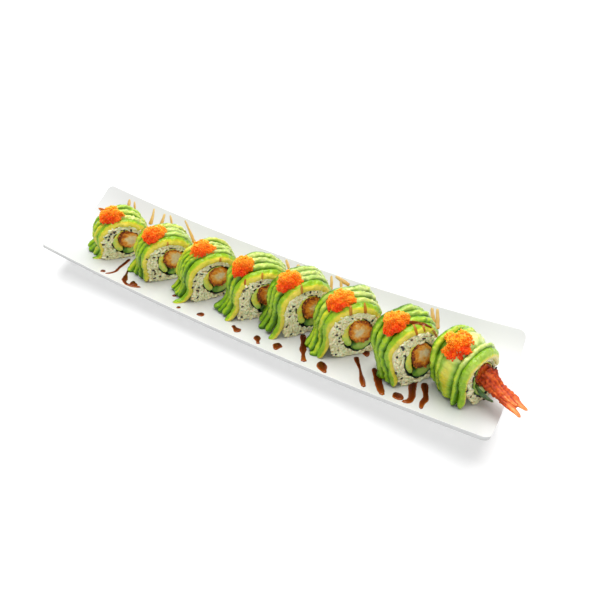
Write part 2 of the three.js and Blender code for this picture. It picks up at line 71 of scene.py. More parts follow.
# How far the long rims draw in, and how far the ends bulge out.
PLATE_BOW = 0.5
PLATE_BULGE = 2.4
PLATE_CORNER = 5.5
FOOT_HEIGHT = 2.7
FOOT_SIZE = (210.0, 48.0)
FOOT_CORNER = 12.0
UNDER_ROUNDING = 0.6
# Two faces that turn by more radians than this meet in a rim.
SHARP_TURN = 0.6
# The shallow band round the side of the plate: its depth, and how far down it lies as a share of the side.
BAND_HOLLOW = 1.0
BAND_LOW = 0.62

# The exponents of a roll's outline over and under its middle, and its arch's height over its half width.
ROUNDNESS = 0.93
SQUARENESS = 0.59
SHOULDER = 1.05
# The thickness of the layer of slices.
SLICE_DEPTH = 4.6
# How sharply the near side flares to its toes, and how much of that spread the far side has.
FLARE = 2.2
FAR_TOE = 0.35
# The height at which a roll has its full spread, and those that the rice and the slices are drawn down to.
TOE_HEIGHT = 7.0
RICE_FOOT = -1.5
ARCH_FOOT = -4.0
# How far the cuts of the rice lie behind the first and the last slice.
RICE_INSET = 0.8
# The size of roll that the fillings are given for.
ROLL_HEIGHT = 46.0
ROLL_HALF_WIDTH = 24.0
SEAWEED = {"across": 2.5, "up": 18.8, "half_width": 12.6, "half_height": 15.0}
PRAWN = {"across": 5.5, "up": 22.6, "half_width": 9.6, "half_height": 10.8}
# How far inside the seaweed's line the prawn and the other fillings stay.
PRAWN_MARGIN = 1.3
FILLING_MARGIN = 0.45
# The direction in degrees from the prawn's middle to where the avocado meets the cucumber.
FILLING_SPLIT = 232.0

# The half sizes of a sesame seed.
SEED_SIZE = (1.5, 0.9, 0.55)
# How far grains and seeds stay inside the rice's outline, and how far apart they lie.
GRAIN_MARGIN = 1.5
GRAIN_SPACING = 1.85
SEED_MARGIN = 1.2
SEED_SPACING = 2.4
# How many places are tried for each grain or seed.
TRIES = 60
CRUMBS_ON_A_CUT = 62

ROE_RADIUS = 9.0
ROE_RISE = 6.0
ROE_SUNK = 3.0
# How far a heap reaches forwards, as a share of its radius.
ROE_FRONT = 0.84
# How many places over a whole heap there are for each egg, as many of them lie inside the slices.
EGG_PLACES = 1.9

# How much wider than given a run of sauce is laid, and how far it stands off its surface.
SAUCE_SPREAD = 1.3
SAUCE_LIFT = 0.06
# How thin the edges of a run of sauce look, where 1 is clear amber.
SAUCE_EDGE = 0.74

# The seeds of the random draws. Each piece adds its index, or twice its index for the pressed grains.
RICE_DRAWS = 100
CRUMB_DRAWS = 300
PRESSED_DRAWS = 450
SLICE_DRAWS = 500
HEAP_DRAWS = 600
EGG_DRAWS = 700

# The pieces from left to right. Pairs and longer rows run from the front cut of a piece to its back cut.
#   x, y, yaw: where it stands and how far its cut is turned from straight across the plate
#   half_width, height, depth, slices: its size over the avocado, and how many slices it has
#   toe, forward: how far the near toes of its slices reach outwards and forwards
#   foot, slump: how far the rice reaches outwards at its foot, and how far the cut leans forwards there
#   roe, heap, roe_front, lumps: where its heap of roe lies, its radius and rise, its reach to the front, and
#       the coarseness, shift and roughness of its lumps
#   curl: how far each slice runs on over the plate
#   shades, pales, pale_and_highlight_from: how dark each slice is, how much it lightens on its far top, as
#       pale flesh and a painted highlight, and where on its way that starts
#   face, border: half the width of the front slice's flat face, and where on it the yellow starts
#   settle, overhang, widths: how far the slices sink, how far the front ones reach out, and how wide each is
#   rice_inset, far_foot: how far its cuts lie behind the slices, and where the slices end on the far side
#   split, prawn: its own filling split and prawn
PIECES = [
    {
        "x": -133, "y": -10, "yaw": 37, "half_width": 24, "height": 43, "depth": 24, "slices": 4,
        "toe": (4.5, 9), "forward": (-2, 1), "foot": 4.5, "slump": 0.5, "roe": (-2.5, 10),
        "curl": (4, 2, 2, 1), "shades": (0, -0.16, 0.02, 0.05), "pales_and_highlights": (0, 0.9, 0.5, 0.3),
        "face": 3.4, "border": -0.25, "settle": 1.3,
    },
    {
        "x": -82, "y": -10, "yaw": 36, "half_width": 24.5, "height": 45.5, "depth": 23, "slices": 4,
        "toe": (2.5, 10), "forward": (2.5, 0), "foot": 2, "slump": 1.5, "roe": (-4, 10),
        "curl": (1, 1, 2, 4), "shades": (0, 0.02, 0.03, -0.14), "pales_and_highlights": (0, 0.6, 0.9, 0.8),
        "face": 3.7, "border": -0.2, "settle": 0.3,
    },
    {
        "x": -35.5, "y": -8.5, "yaw": 33.5, "half_width": 24.5, "height": 45.5, "depth": 24, "slices": 5,
        "toe": (12.5, 8), "forward": (-1, 0), "foot": 4.5, "slump": 1.5, "roe": (-1, 11),
        "curl": (7, 2, 1, 2, 2), "shades": (0, 0.03, -0.02, 0.04, -0.10), "pales_and_highlights": (0, 0.8, 1, 0.9, 0.6),
        "face": 3.7, "border": -0.1,
    },
    {
        "x": 11, "y": -6.5, "yaw": 42, "half_width": 24.5, "height": 46.5, "depth": 24, "slices": 4,
        "toe": (12, 14.5), "forward": (3, 5), "foot": 5, "slump": 3.5, "roe": (-8, 12), "roe_front": 0.62,
        "curl": (2, 1, 2, 2), "shades": (0, 0.02, 0.06, 0.08), "pales_and_highlights": (0, 0.6, 0.8, 0.7),
        "face": 3.8, "border": -0.15,
    },
    {
        "x": 50, "y": -4, "yaw": 36.5, "half_width": 24, "height": 49, "depth": 22, "slices": 4,
        "toe": (11, 8.5), "forward": (3, -3), "foot": 4.5, "slump": 4, "roe": (-7, 9), "roe_front": 0.66,
        "curl": (3, 1, 4, 2), "shades": (0, 0.04, 0.02, 0.10), "pales_and_highlights": (0, 0.7, 1, 0.9),
        "face": 3.9, "border": 0.0,
    },
    {
        "x": 92, "y": -8, "yaw": 45.5, "half_width": 24, "height": 48.5, "depth": 23, "slices": 4,
        "toe": (9.5, 8.5), "forward": (4, 6), "foot": 1, "slump": 5.5, "roe": (-4.5, 9),
        "curl": (2, 5, 2, 3), "shades": (0, -0.14, 0.03, 0.07), "pales_and_highlights": (0, 0.8, 1, 1),
        "face": 3.9, "border": 0.1,
    },
    {
        "x": 139.5, "y": -11, "yaw": 37, "half_width": 22, "height": 51, "depth": 23, "slices": 4,
        "toe": (0, 1.5), "forward": (7.5, 15), "foot": -1, "slump": 8, "roe": (-7, 11), "roe_front": 0.66,
        "curl": (1, 2, 1, 3), "shades": (0, 0.04, 0, 0.06), "pales_and_highlights": (0, 0.1, 0.4, 0.5),
        "face": 3.6, "border": 0.0,
    },
    {
        "x": 183, "y": -8.4, "yaw": 25, "half_width": 19, "height": 44.2, "depth": 28, "slices": 5,
        "toe": (4, -2), "forward": (2, 5), "foot": -2.5, "slump": 8, "roe": (-4.6, 14.5),
        "curl": (1, 1, 1, 3, 1), "widths": (0.85, 0.45, 1.9, 0.9, 0.9), "shades": (0, -0.04, -0.19, 0, 0.05),
        "pales_and_highlights": (0.3, 1.0, 1.4, 0.4, 0.1), "pale_and_highlight_from": 0.33,
        "face": 3.5, "border": 0.45, "overhang": 2.4, "heap": (8.4, 7.6),
        "rice_inset": 2, "roe_front": 1.0, "lumps": (1.6, 3.0, 1.9), "far_foot": 20, "split": 150,
        "prawn": {"across": 2.5, "up": 24, "half_width": 8.8, "half_height": 9.6},
    },
]


def plate_height(x, y):
    """The height of the plate's upper face at a place."""
    along, across = 2 * x / PLATE_LENGTH, 2 * y / PLATE_WIDTH
    centre = FOOT_HEIGHT + PLATE_WALL + PLATE_DISH
    return centre + PLATE_SWEEP * along**2 - PLATE_DISH * (1 - across**2)


def plate_slope(x):
    """How steeply the plate rises along its length."""
    return 8 * PLATE_SWEEP * x / PLATE_LENGTH**2


def between(pair, share):
    return pair[0] + (pair[1] - pair[0]) * share


def power(value, exponent):
    """A power that keeps the sign."""
    return math.copysign(abs(value) ** exponent, value)


def clamp(value):
    return min(max(value, 0.0), 1.0)


def ring_noise(turn, fineness, seed):
    """Noise along a circle, which meets itself after a whole turn."""
    return noise.noise(Vector((fineness * math.cos(turn), fineness * math.sin(turn), seed)))


class Roll:
    """One piece of roll in its own frame: x across the cut, y up, and z forwards out of the front cut."""

    def __init__(self, index):
        piece = PIECES[index]
        self.piece = piece
        self.index = index
        self.last = index == len(PIECES) - 1
        self.label = f"piece_{index + 1}"
        inner = SLICE_DEPTH + GAP
        self.half_width = piece["half_width"] - inner
        self.top = piece["height"] - inner
        self.middle = self.top - self.half_width * SHOULDER
        self.depth = piece["depth"]
        self.inset = piece.get("rice_inset", RICE_INSET)
        self.seaweed = self.oval(SEAWEED)
        self.prawn = self.oval(piece.get("prawn", PRAWN))
        self.split = piece.get("split", FILLING_SPLIT)
        up = Vector((-plate_slope(piece["x"]), 0, 1)).normalized()
        yaw = math.radians(piece["yaw"])
        across = Vector((math.sin(yaw), math.cos(yaw), 0))
        across = (across - up * across.dot(up)).normalized()
        self.matrix = Matrix((across, up, across.cross(up))).transposed().to_4x4()
        self.matrix.translation = (piece["x"], piece["y"], plate_height(piece["x"], 0))
        self.axes = self.matrix.to_3x3()

    def oval(self, shape):
        """The middle and half sizes of a filling, scaled to the piece."""
        wide = self.piece["half_width"] / ROLL_HALF_WIDTH
        high = self.piece["height"] / ROLL_HEIGHT
        across, half_width = shape["across"] * wide, shape["half_width"] * wide
        return across, shape["up"] * high, half_width, shape["half_height"] * high

    def foot_share(self, up):
        """How far down a height is, from 0 at the middle to 1 at the toes."""
        return clamp((self.middle - up) / (self.middle - TOE_HEIGHT))

    def rice_outline(self, turn):
        """A point on the outline of the rice, which spreads at the foot of its near side."""
        c, s = math.cos(turn), math.sin(turn)
        exponent = ROUNDNESS if s > 0 else SQUARENESS
        rise = self.top - self.middle if s > 0 else self.middle - RICE_FOOT
        across = self.half_width * power(c, exponent)
        up = self.middle + rise * power(s, exponent)
        if c < 0:
            across -= self.piece["foot"] * self.foot_share(up) ** FLARE
        return across, up

    def cut_at(self, height, proud, back=False):
        """Where the front or back cut lies at a height, for something that stands proud of the rice."""
        out = proud - self.inset
        if back:
            return -self.depth - out
        return out + self.piece["slump"] * (1 - height / self.piece["height"])

    def tube(self, turn, grow=0.0):
        """A point on the wavy line that the seaweed is rolled to."""
        across, up, wide, high = self.seaweed
        grow += self.wobble(turn)
        return across + (wide + grow) * math.cos(turn), up + (high + grow) * math.sin(turn)

    def wobble(self, turn):
        return 1.1 * ring_noise(turn, 1.7, 3.3 * self.index)

    def world(self, point):
        return self.matrix @ Vector(point)

    def floor_under(self, point):
        """How high a point in this frame stands over the plate."""
        place = self.world(point)
        return place.z - plate_height(place.x, place.y)

    def turned(self, *turns):
        """The axes of this frame after turns of an angle and an axis each, the last one first."""
        rotation = Matrix.Identity(3)
        for angle, axis in turns:
            rotation = rotation @ Matrix.Rotation(angle, 3, axis)
        return self.axes @ rotation


def rolls():
    return [Roll(index) for index in range(len(PIECES))]


# ---------------------------------------------------------------- mesh helpers


def skin(bm, around, along, point_at, closed=False, layers=()):
    """A skin through rings of points. point_at(k, j) gives point k of ring j, then a value for each layer."""
    rows = along if closed else along - 1
    made = bmesh.ops.create_grid(bm, x_segments=around, y_segments=rows, size=1.0)["verts"]
    for vertex in made:
        k = round((vertex.co.x + 1.0) / 2.0 * around)
        j = round((vertex.co.y + 1.0) / 2.0 * rows)
        place, *values = point_at(k % around, j % along)
        vertex.co = place
        for layer, value in zip(layers, values):
            vertex[layer] = value
    bmesh.ops.remove_doubles(bm, verts=made, dist=WELD)


def close(bm):
    """Closes the open ends of the skins and turns every face outwards."""
    rims = [edge for edge in bm.edges if edge.is_boundary]
    if rims:
        bmesh.ops.holes_fill(bm, edges=rims, sides=0)
    bmesh.ops.recalc_face_normals(bm, faces=bm.faces)


def show(mesh, name, material, nodes=()):
    """Puts a mesh in the scene: it rides on the root body and stands for its nodes."""
    mesh.materials.append(material)
    piece = bpy.data.objects.new(name, mesh)
    bpy.context.scene.collection.objects.link(piece)
    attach(piece, "root")
    if nodes:
        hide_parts(*nodes)


def finish(bm, name, material, nodes=()):
    """Makes a finished piece of a bmesh in millimetres."""
    bmesh.ops.scale(bm, vec=(MM, MM, MM), verts=bm.verts)
    mesh = bpy.data.meshes.new(name)
    bm.to_mesh(mesh)
    bm.free()
    mesh.polygons.foreach_set("use_smooth", [True] * len(mesh.polygons))
    show(mesh, name, material, nodes)


def finish_part(bm, roll, name, material, solid=None):
    """Closes and finishes one part of a piece of roll, which stands for a solid of that piece."""
    close(bm)
    finish(bm, f"{roll.label}_{name}", material, (f"{roll.label}_{solid}",) if solid else ())


def rounded_path(points, steps):
    """A smooth line through points, in even steps by length."""
    fine = []
    last = len(points) - 1
    for i in range(last):
        p0, p1, p2, p3 = (points[min(max(n, 0), last)] for n in range(i - 1, i + 3))
        slope, square, cube = p2 - p0, 2 * p0 - 5 * p1 + 4 * p2 - p3, 3 * p1 - p0 - 3 * p2 + p3
        for t in (n / 8 for n in range(8)):
            fine.append(0.5 * (2 * p1 + slope * t + square * t**2 + cube * t**3))
    return even_path([*fine, points[-1]], steps)


def even_path(points, steps):
    """Points in even steps by length along a line of points."""
    lengths = [0.0]
    for a, b in zip(points, points[1:]):
        lengths.append(lengths[-1] + (b - a).length)
    path, i = [], 0
    for n in range(steps):
        want = lengths[-1] * n / (steps - 1)
        while i < len(points) - 2 and lengths[i + 1] < want:
            i += 1
        span = max(lengths[i + 1] - lengths[i], 1e-9)
        path.append(points[i].lerp(points[i + 1], clamp((want - lengths[i]) / span)))
    return path


def limb_paths(stations, steps):
    """The smooth lines of a limb's places and of its widths, thicknesses and turns, from its stations."""
    return [rounded_path([Vector(s[at:at + 3]) for s in stations], steps) for at in (0, 3)]


class Scatter:
    """Many stretched balls, such as grains, seeds or eggs, joined into one piece."""

    def __init__(self, segments, rings):
        bm = bmesh.new()
        bmesh.ops.create_uvsphere(bm, u_segments=segments, v_segments=rings, radius=1.0)
        bmesh.ops.triangulate(bm, faces=bm.faces)
        bmesh.ops.recalc_face_normals(bm, faces=bm.faces)
        bm.verts.ensure_lookup_table()
        self.corners = np.array([v.co for v in bm.verts])
        self.faces = np.array([[v.index for v in f.verts] for f in bm.faces])
        bm.free()
        self.places = []
        self.values = []

    def add(self, place, radii, turn, value=0.0):
        self.places.append(Matrix.Translation(place) @ turn.to_4x4() @ Matrix.Diagonal((*radii, 1.0)))
        self.values.append(value)

    def finish(self, name, material, slot, layer=None):
        """Joins the copies into one piece that rides on the root body."""
        matrices = np.array([np.array(m) for m in self.places])
        corners = np.einsum("nij,vj->nvi", matrices[:, :3, :3], self.corners) + matrices[:, None, :3, 3]
        count, size = len(matrices), len(self.corners)
        faces = (self.faces[None] + size * np.arange(count)[:, None, None]).reshape(-1, 3)
        mesh = bpy.data.meshes.new(name)
        mesh.vertices.add(count * size)
        mesh.vertices.foreach_set("co", (corners * MM).ravel())
        mesh.loops.add(faces.size)
        mesh.loops.foreach_set("vertex_index", faces.ravel())
        mesh.polygons.add(len(faces))
        mesh.polygons.foreach_set("loop_start", np.arange(0, faces.size, 3))
        mesh.polygons.foreach_set("use_smooth", np.ones(len(faces), bool))
        mesh.update(calc_edges=True)
        if layer:
            values = mesh.attributes.new(layer, "FLOAT", "POINT").data
            values.foreach_set("value", np.repeat(self.values, size))
        show(mesh, name, material)


def random_turn(draw):
    axis = Vector((draw.gauss(0, 1), draw.gauss(0, 1), draw.gauss(0, 1))).normalized()
    return Matrix.Rotation(draw.uniform(0, math.pi), 3, axis)


# ---------------------------------------------------------------- shader helpers


def node(tree, kind, inputs, **settings):
    """A new shader node. Each input is a value, or a socket that it is linked from."""
    made = tree.nodes.new(f"ShaderNode{kind}")
    for label, value in settings.items():
        setattr(made, label, value)
    for label, value in inputs.items():
        if isinstance(value, bpy.types.NodeSocket):
            tree.links.new(value, made.inputs[label])
        else:
            made.inputs[label].default_value = value
    return made


def mottle_group():
    """Uneven darkening over a colour, with a height for its bump."""
    found = bpy.data.node_groups.get("Mottle")
    if found:
        return found
    group = bpy.data.node_groups.new("Mottle", "ShaderNodeTree")
    number, colour = "NodeSocketFloat", "NodeSocketColor"
    for label, kind, default in (
        ("Color", colour, (0.8, 0.8, 0.8, 1.0)),
        ("Shade", colour, (0.5, 0.5, 0.5, 1.0)),
        ("Scale", number, 200.0),
        ("Amount", number, 0.5),
        ("Fine Scale", number, 1200.0),
    ):
        group.interface.new_socket(name=label, in_out="INPUT", socket_type=kind).default_value = default
    group.interface.new_socket(name="Color", in_out="OUTPUT", socket_type=colour)
    group.interface.new_socket(name="Height", in_out="OUTPUT", socket_type=number)
    into, out = group.nodes.new("NodeGroupInput").outputs, group.nodes.new("NodeGroupOutput").inputs
    where = node(group, "TexCoord", {}).outputs["Object"]
    broad, fine = (
        node(group, "TexNoise", {"Vector": where, "Scale": into[scale], "Detail": detail}).outputs["Fac"]
        for scale, detail in (("Scale", 4.0), ("Fine Scale", 3.0))
    )
    spread = node(group, "MapRange", {"Value": broad, "From Min": 0.35, "From Max": 0.65}).outputs["Result"]
    share = node(group, "Math", {0: spread, 1: into["Amount"]}, operation="MULTIPLY").outputs[0]
    mixed = mix(group, share, into["Color"], into["Shade"])
    height = node(group, "Math", {0: broad, 1: fine}, operation="ADD").outputs[0]
    group.links.new(mixed, out["Color"])
    group.links.new(height, out["Height"])
    return group


def mix(tree, share, first, second):
    """Two colours mixed by a share. A colour mix node has them at its seventh and eighth inputs."""
    return node(tree, "Mix", {"Factor": share, 6: first, 7: second}, data_type="RGBA").outputs[2]


def attribute(tree, name):
    return node(tree, "Attribute", {}, attribute_name=name).outputs["Fac"]


def ramp(tree, value, stops):
    """The colour of a value, from stops of a position and a colour in rising order."""
    made = node(tree, "ValToRGB", {"Fac": value})
    elements = made.color_ramp.elements
    for element, (at, colour) in zip(elements, (stops[0], stops[-1])):
        element.position = at
        element.color = (*colour, 1.0)
    for at, colour in stops[1:-1]:
        elements.new(at).color = (*colour, 1.0)
    return made.outputs[0]


def principled(name, **settings):
    """A new material with its Principled BSDF set from names such as Roughness."""
    material = bpy.data.materials.new(name)
    material.use_nodes = True
    shader = material.node_tree.nodes["Principled BSDF"]
    for label, value in settings.items():
        shader.inputs[label.replace("_", " ")].default_value = value
    return material, material.node_tree, shader


def mottled(tree, shader, colour, shade, scale, amount, fine, bump=0.2, distance=0.0004):
    """Puts the mottle, with its bump, between the shader and a colour or the socket that gives it."""
    if not isinstance(colour, bpy.types.NodeSocket):
        colour = (*colour, 1.0)
    inputs = {"Color": colour, "Shade": (*shade, 1.0), "Scale": scale, "Amount": amount, "Fine Scale": fine}
    group = node(tree, "Group", inputs, node_tree=mottle_group()).outputs
    lift = node(tree, "Bump", {"Strength": bump, "Distance": distance, "Height": group["Height"]})
    tree.links.new(group["Color"], shader.inputs["Base Color"])
    tree.links.new(lift.outputs["Normal"], shader.inputs["Normal"])


def new_finish(name, colour, shade, scale, amount, fine, bump=0.2, distance=0.0004, layer=None, **settings):
    """A mottled finish of one colour, or of a ramp of colours that follows a layer of the mesh."""
    material, tree, shader = principled(name, **settings)
    if layer:
        colour = ramp(tree, attribute(tree, layer), colour)
    mottled(tree, shader, colour, shade, scale, amount, fine, bump, distance)
    return material


def tinted(colour, shares):
    return tuple(c * s for c, s in zip(colour, shares))


# ---------------------------------------------------------------- settings


def length_setting(label, description, default):
    return bpy.props.FloatProperty(name=label, description=description, default=default, unit="LENGTH")


def count_setting(label, description, default):
    return bpy.props.IntProperty(name=label, description=description, default=default, min=0)


class PlatterSizes(bpy.types.PropertyGroup):
    """Sizes of the plate and of the small things on it."""

    plate_length: length_setting("Plate length", "Length of the plate between its corners", 0.4)
    plate_width: length_setting("Plate width", "Width of the plate over its long rims", 0.0925)
    plate_wall: length_setting("Plate wall", "Thickness of the porcelain", 0.005)
    rim_rounding: length_setting("Rim rounding", "Radius of the rounded rim", 0.0014)
    grain_length: length_setting("Rice grain", "Length of a cooked rice grain", 0.0058)
    egg_diameter: length_setting("Roe egg", "Diameter of one egg of roe", 0.0015)


class PlatterCounts(bpy.types.PropertyGroup):
    """How many small things lie on each piece of roll."""

    grains: count_setting("Grains on a cut", "Rice grains laid over each cut", 120)
    seeds: count_setting("Seeds on a cut", "Sesame seeds strewn over each cut", 4)
    eggs: count_setting("Eggs in a heap", "Eggs of roe on each piece", 430)


def colour_setting(label, description, default):
    return bpy.props.FloatVectorProperty(
        name=label, description=description, default=default, subtype="COLOR", size=3, min=0.0, max=1.0
    )


class PlatterColours(bpy.types.PropertyGroup):
    """Main colours of the platter's finishes."""

    porcelain: colour_setting("Porcelain", "Glaze of the plate", (0.665, 0.67, 0.66))
    rice: colour_setting("Rice", "Cooked rice", (0.97, 0.91, 0.61))
    avocado_green: colour_setting("Avocado rim", "Outer edge of an avocado slice", (0.23, 0.45, 0.008))
    avocado_yellow: colour_setting("Avocado flesh", "Inner flesh of an avocado slice", (0.80, 0.66, 0.03))
    crust: colour_setting("Crust", "Fried crumb crust", (0.95, 0.36, 0.025))
    flesh: colour_setting("Prawn flesh", "Cooked prawn", (0.92, 0.80, 0.50))
    roe: colour_setting("Roe", "Eggs of roe", (1.0, 0.15, 0.004))
    sauce: colour_setting("Sauce", "Thick sweet sauce", (0.040, 0.005, 0.001))


# ---------------------------------------------------------------- the plate


def grid_line(i, cells, corner_cells, half, corner):
    """Line i of a grid with corner cells at both ends: where it is, its side and how far into the corner."""
    last = cells + 2 * corner_cells
    straight = half - corner
    side = -1 if i < last / 2 else 1
    from_end = i if side < 0 else last - i
    if from_end < corner_cells:
        return side * straight, side, 1 - from_end / corner_cells
    return -straight + 2 * straight * (i - corner_cells) / cells, side, 0.0


def rounded_sheet(bm, half, corner, cells, corner_cells, place):
    """A flat sheet with quarter-round corners as a grid of quads. place(x, y) gives each vertex."""
    nx, ny = (count + 2 * corner_cells for count in cells)
    for vertex in bmesh.ops.create_grid(bm, x_segments=nx, y_segments=ny, size=1.0)["verts"]:
        i, j = round((vertex.co.x + 1) / 2 * nx), round((vertex.co.y + 1) / 2 * ny)
        u_at, u_side, u = grid_line(i, cells[0], corner_cells, half[0], corner)
        v_at, v_side, v = grid_line(j, cells[1], corner_cells, half[1], corner)
        x = u_at + u_side * corner * u * math.sqrt(1 - v * v / 2)
        y = v_at + v_side * corner * v * math.sqrt(1 - u * u / 2)
        vertex.co = place(x, y)


def thicken(bm, lower):
    """Extrudes every face and moves the copy with lower(co). Gives the upper and the lower vertices."""
    upper = list(bm.verts)
    made = bmesh.ops.extrude_face_region(bm, geom=list(bm.faces))["geom"]
    below = [g for g in made if isinstance(g, bmesh.types.BMVert)]
    for vertex in below:
        vertex.co = lower(vertex.co)
    bmesh.ops.recalc_face_normals(bm, faces=bm.faces)
    return upper, below


def rim_edges(bm, vertices):
    """Edges among the vertices where two faces turn sharply."""
    among = set(vertices)
    inner = [edge for edge in bm.edges if among.issuperset(edge.verts) and len(edge.link_faces) == 2]
    return [edge for edge in inner if edge.calc_face_angle(0.0) > SHARP_TURN]


def round_edges(bm, edges, radius, segments):
    bmesh.ops.bevel(
        bm, geom=edges, offset=radius, offset_type="OFFSET", segments=segments,
        profile=0.5, affect="EDGES", material=-1, clamp_overlap=True,
    )


class PLATTER_OT_plate(bpy.types.Operator):
    """Makes the long curved porcelain plate with its foot"""

    bl_idname = "platter.plate"
    bl_label = "Make plate"

    def execute(self, context):
        sizes = context.scene.platter_sizes
        half = (sizes.plate_length / MM / 2, sizes.plate_width / MM / 2)
        wall = sizes.plate_wall / MM

        def upper_face(x, y):
            along, across = x / half[0], y / half[1]
            x += PLATE_BULGE * (1 - across**2) * power(along, 2)
            y -= PLATE_BOW * (1 - along**2) * across
            return Vector((x, y, plate_height(x, y)))

        bm = bmesh.new()
        rounded_sheet(bm, half, PLATE_CORNER, (88, 30), 6, upper_face)
        upper, below = thicken(bm, lambda co: Vector((co.x, co.y, co.z - wall)))
        top_rim, low_rim = rim_edges(bm, upper), rim_edges(bm, below)
        self.hollow_band(bm, set(upper), set(below), half, wall)
        round_edges(bm, top_rim, sizes.rim_rounding / MM, 4)
        round_edges(bm, low_rim, UNDER_ROUNDING, 3)
        self.add_foot(bm, wall)
        porcelain = tuple(context.scene.platter_colours.porcelain)
        material = new_finish(
            "porcelain", porcelain, tinted(porcelain, (0.97, 0.98, 0.985)), scale=25.0, amount=0.6,
            fine=180.0, bump=0.02, distance=0.0003, Roughness=0.32, Coat_Weight=0.2, Coat_Roughness=0.16,
            IOR=1.45,
        )
        finish(bm, "porcelain_plate", material, ("plate",))
        return {"FINISHED"}

    def hollow_band(self, bm, upper, below, half, wall):
        """Draws the side of the rim in a little above its lower edge."""
        uprights = [e for e in bm.edges if upper.intersection(e.verts) and below.intersection(e.verts)]
        for vertex in bmesh.ops.subdivide_edges(bm, edges=uprights, cuts=1)["geom_inner"]:
            if isinstance(vertex, bmesh.types.BMVert):
                x, y = vertex.co.x / half[0], vertex.co.y / half[1]
                vertex.co -= Vector((power(x, 12), power(y, 12), 0)).normalized() * BAND_HOLLOW
                vertex.co.z -= (BAND_LOW - 0.5) * wall

    def add_foot(self, bm, wall):
        """Adds the flat foot, which reaches half way up into the wall."""
        foot = bmesh.new()
        half = (FOOT_SIZE[0] / 2, FOOT_SIZE[1] / 2)
        rounded_sheet(
            foot, half, FOOT_CORNER, (40, 12), 5, lambda x, y: Vector((x, y, plate_height(x, y) - wall / 2))
        )
        _, below = thicken(foot, lambda co: Vector((co.x, co.y, 0.0)))
        round_edges(foot, rim_edges(foot, below), UNDER_ROUNDING, 3)
        mesh = bpy.data.meshes.new("foot")
        foot.to_mesh(mesh)
        foot.free()
        bm.from_mesh(mesh)
        bpy.data.meshes.remove(mesh)


# ---------------------------------------------------------------- sauce

# Thick runs of sauce along the near side of the plate: x, y and width at each point.
NEAR_SAUCE = [
    [(-132.5, -41, 2.2), (-130.5, -41, 3.4), (-128.5, -41.2, 2.0)],
    [(-130, -12, 2.2), (-127.5, -26, 2.0), (-124.5, -34, 1.8), (-125, -40, 1.6), (-126.5, -42.5, 1.2)],
    [(-121.5, -22.5, 1.0), (-116, -30, 1.4), (-110.5, -37, 3.4), (-106.5, -41, 2.2), (-101.5, -42.8, 2.2),
     (-96.5, -41.4, 2.8), (-91.5, -38, 1.6)],
    [(-103, -35, 1.6), (-99.4, -38.6, 4.2), (-95.6, -38, 2.2)],
    [(-65, -28, 2.0), (-63.5, -31, 3.4)],
    [(-50.5, -41, 2.6), (-47.5, -41.5, 3.6)],
    [(-32.5, -39.5, 2.2), (-29.8, -37.2, 5.0), (-28, -35.5, 4.2)],
    [(-1.5, -33.5, 3.4), (1.5, -35.5, 2.4), (5.6, -37, 5.4), (8, -37.2, 4.6)],
    [(20.8, -33.5, 3.2), (23.2, -36.4, 4.4), (25.8, -39.4, 2.0), (28.4, -42.4, 2.8)],
    [(40.2, -31.8, 4.2), (40.4, -34, 6.4), (41, -37, 4.6), (42.4, -40.8, 1.8)],
    [(49, -12, 3.0), (52.5, -17, 3.8), (55, -21.5, 2.8), (58, -27, 4.2), (62, -33.5, 2.4), (67, -41, 4.2)],
    [(76.5, -33, 3.0), (79.5, -37, 5.8), (82.5, -40.5, 4.4), (86, -43.5, 1.6)],
    [(95.8, -13.6, 3.4), (98.2, -17.2, 2.8), (103.8, -24.2, 1.6), (107.5, -30.2, 2.2),
     (110.4, -34.8, 3.2), (115, -42.2, 2.2)],
    [(98.2, -4.5, 3.4), (101.2, -7.2, 4.2), (103.4, -10, 2.4)],
    [(112, -18, 2.8), (118, -26, 4.2), (123.5, -34.5, 4.6), (129, -43, 2.6)],
    [(134.5, -35.5, 4.0), (138, -37.5, 6.4), (142, -39.5, 3.4)],
    [(141.5, -14, 4.2), (143.2, -23, 4.4), (146, -32, 3.6), (145.8, -38.5, 3.4), (142, -41.5, 1.8)],
    [(149.4, -14.5, 3.4), (150.6, -18.5, 4.4), (153.2, -24.5, 2.8), (154.8, -29.5, 3.4),
     (154.2, -35, 3.0), (155.3, -41.8, 1.6)],
]
# Thin amber drizzle that runs up the far side.
FAR_SAUCE = [
    [(-173, 41.5, 1.6), (-171, 38, 2.6), (-169, 33.5, 2.2)],
    [(-166.5, 41.5, 1.2), (-164.5, 38.5, 1.8), (-162, 35.5, 1.4)],
    [(-143.5, 43, 1.4), (-141, 36, 2.2), (-139, 28.5, 3.8)],
    [(-130.5, 42.5, 1.8), (-129.5, 37, 2.6), (-128.5, 32, 3.0)],
    [(-124.5, 43, 1.2), (-121.5, 40, 1.6), (-118.5, 36.5, 1.8)],
    [(-108, 44, 1.0), (-97, 36.5, 1.8), (-88, 29.5, 2.8)],
    [(1.5, 44, 1.4), (5, 41, 1.8), (8.5, 37.5, 1.6)],
    [(13, 43, 1.6), (15.5, 42, 2.4), (18, 40.5, 2.2)],
    [(45.5, 44, 1.4), (48, 39.5, 1.8), (50.5, 33.5, 2.0)],
    [(49, 44.5, 1.4), (56, 43, 2.2), (63.5, 41.5, 1.8)],
    [(54.5, 43.5, 1.4), (56.5, 40, 1.8), (58.5, 36.5, 2.0)],
    [(131.5, 44, 1.6), (134.5, 38.5, 2.2), (137.5, 33.5, 2.4)],
    [(135.5, 44.5, 1.4), (138.5, 38, 2.2), (141.5, 30.5, 2.6)],
]


def on_plate(x, y):
    """The place on the plate's upper face at x and y, and the direction straight out of it."""
    out = Vector((-plate_slope(x), -8 * PLATE_DISH * y / PLATE_WIDTH**2, 1))
    return Vector((x, y, plate_height(x, y))), out.normalized()


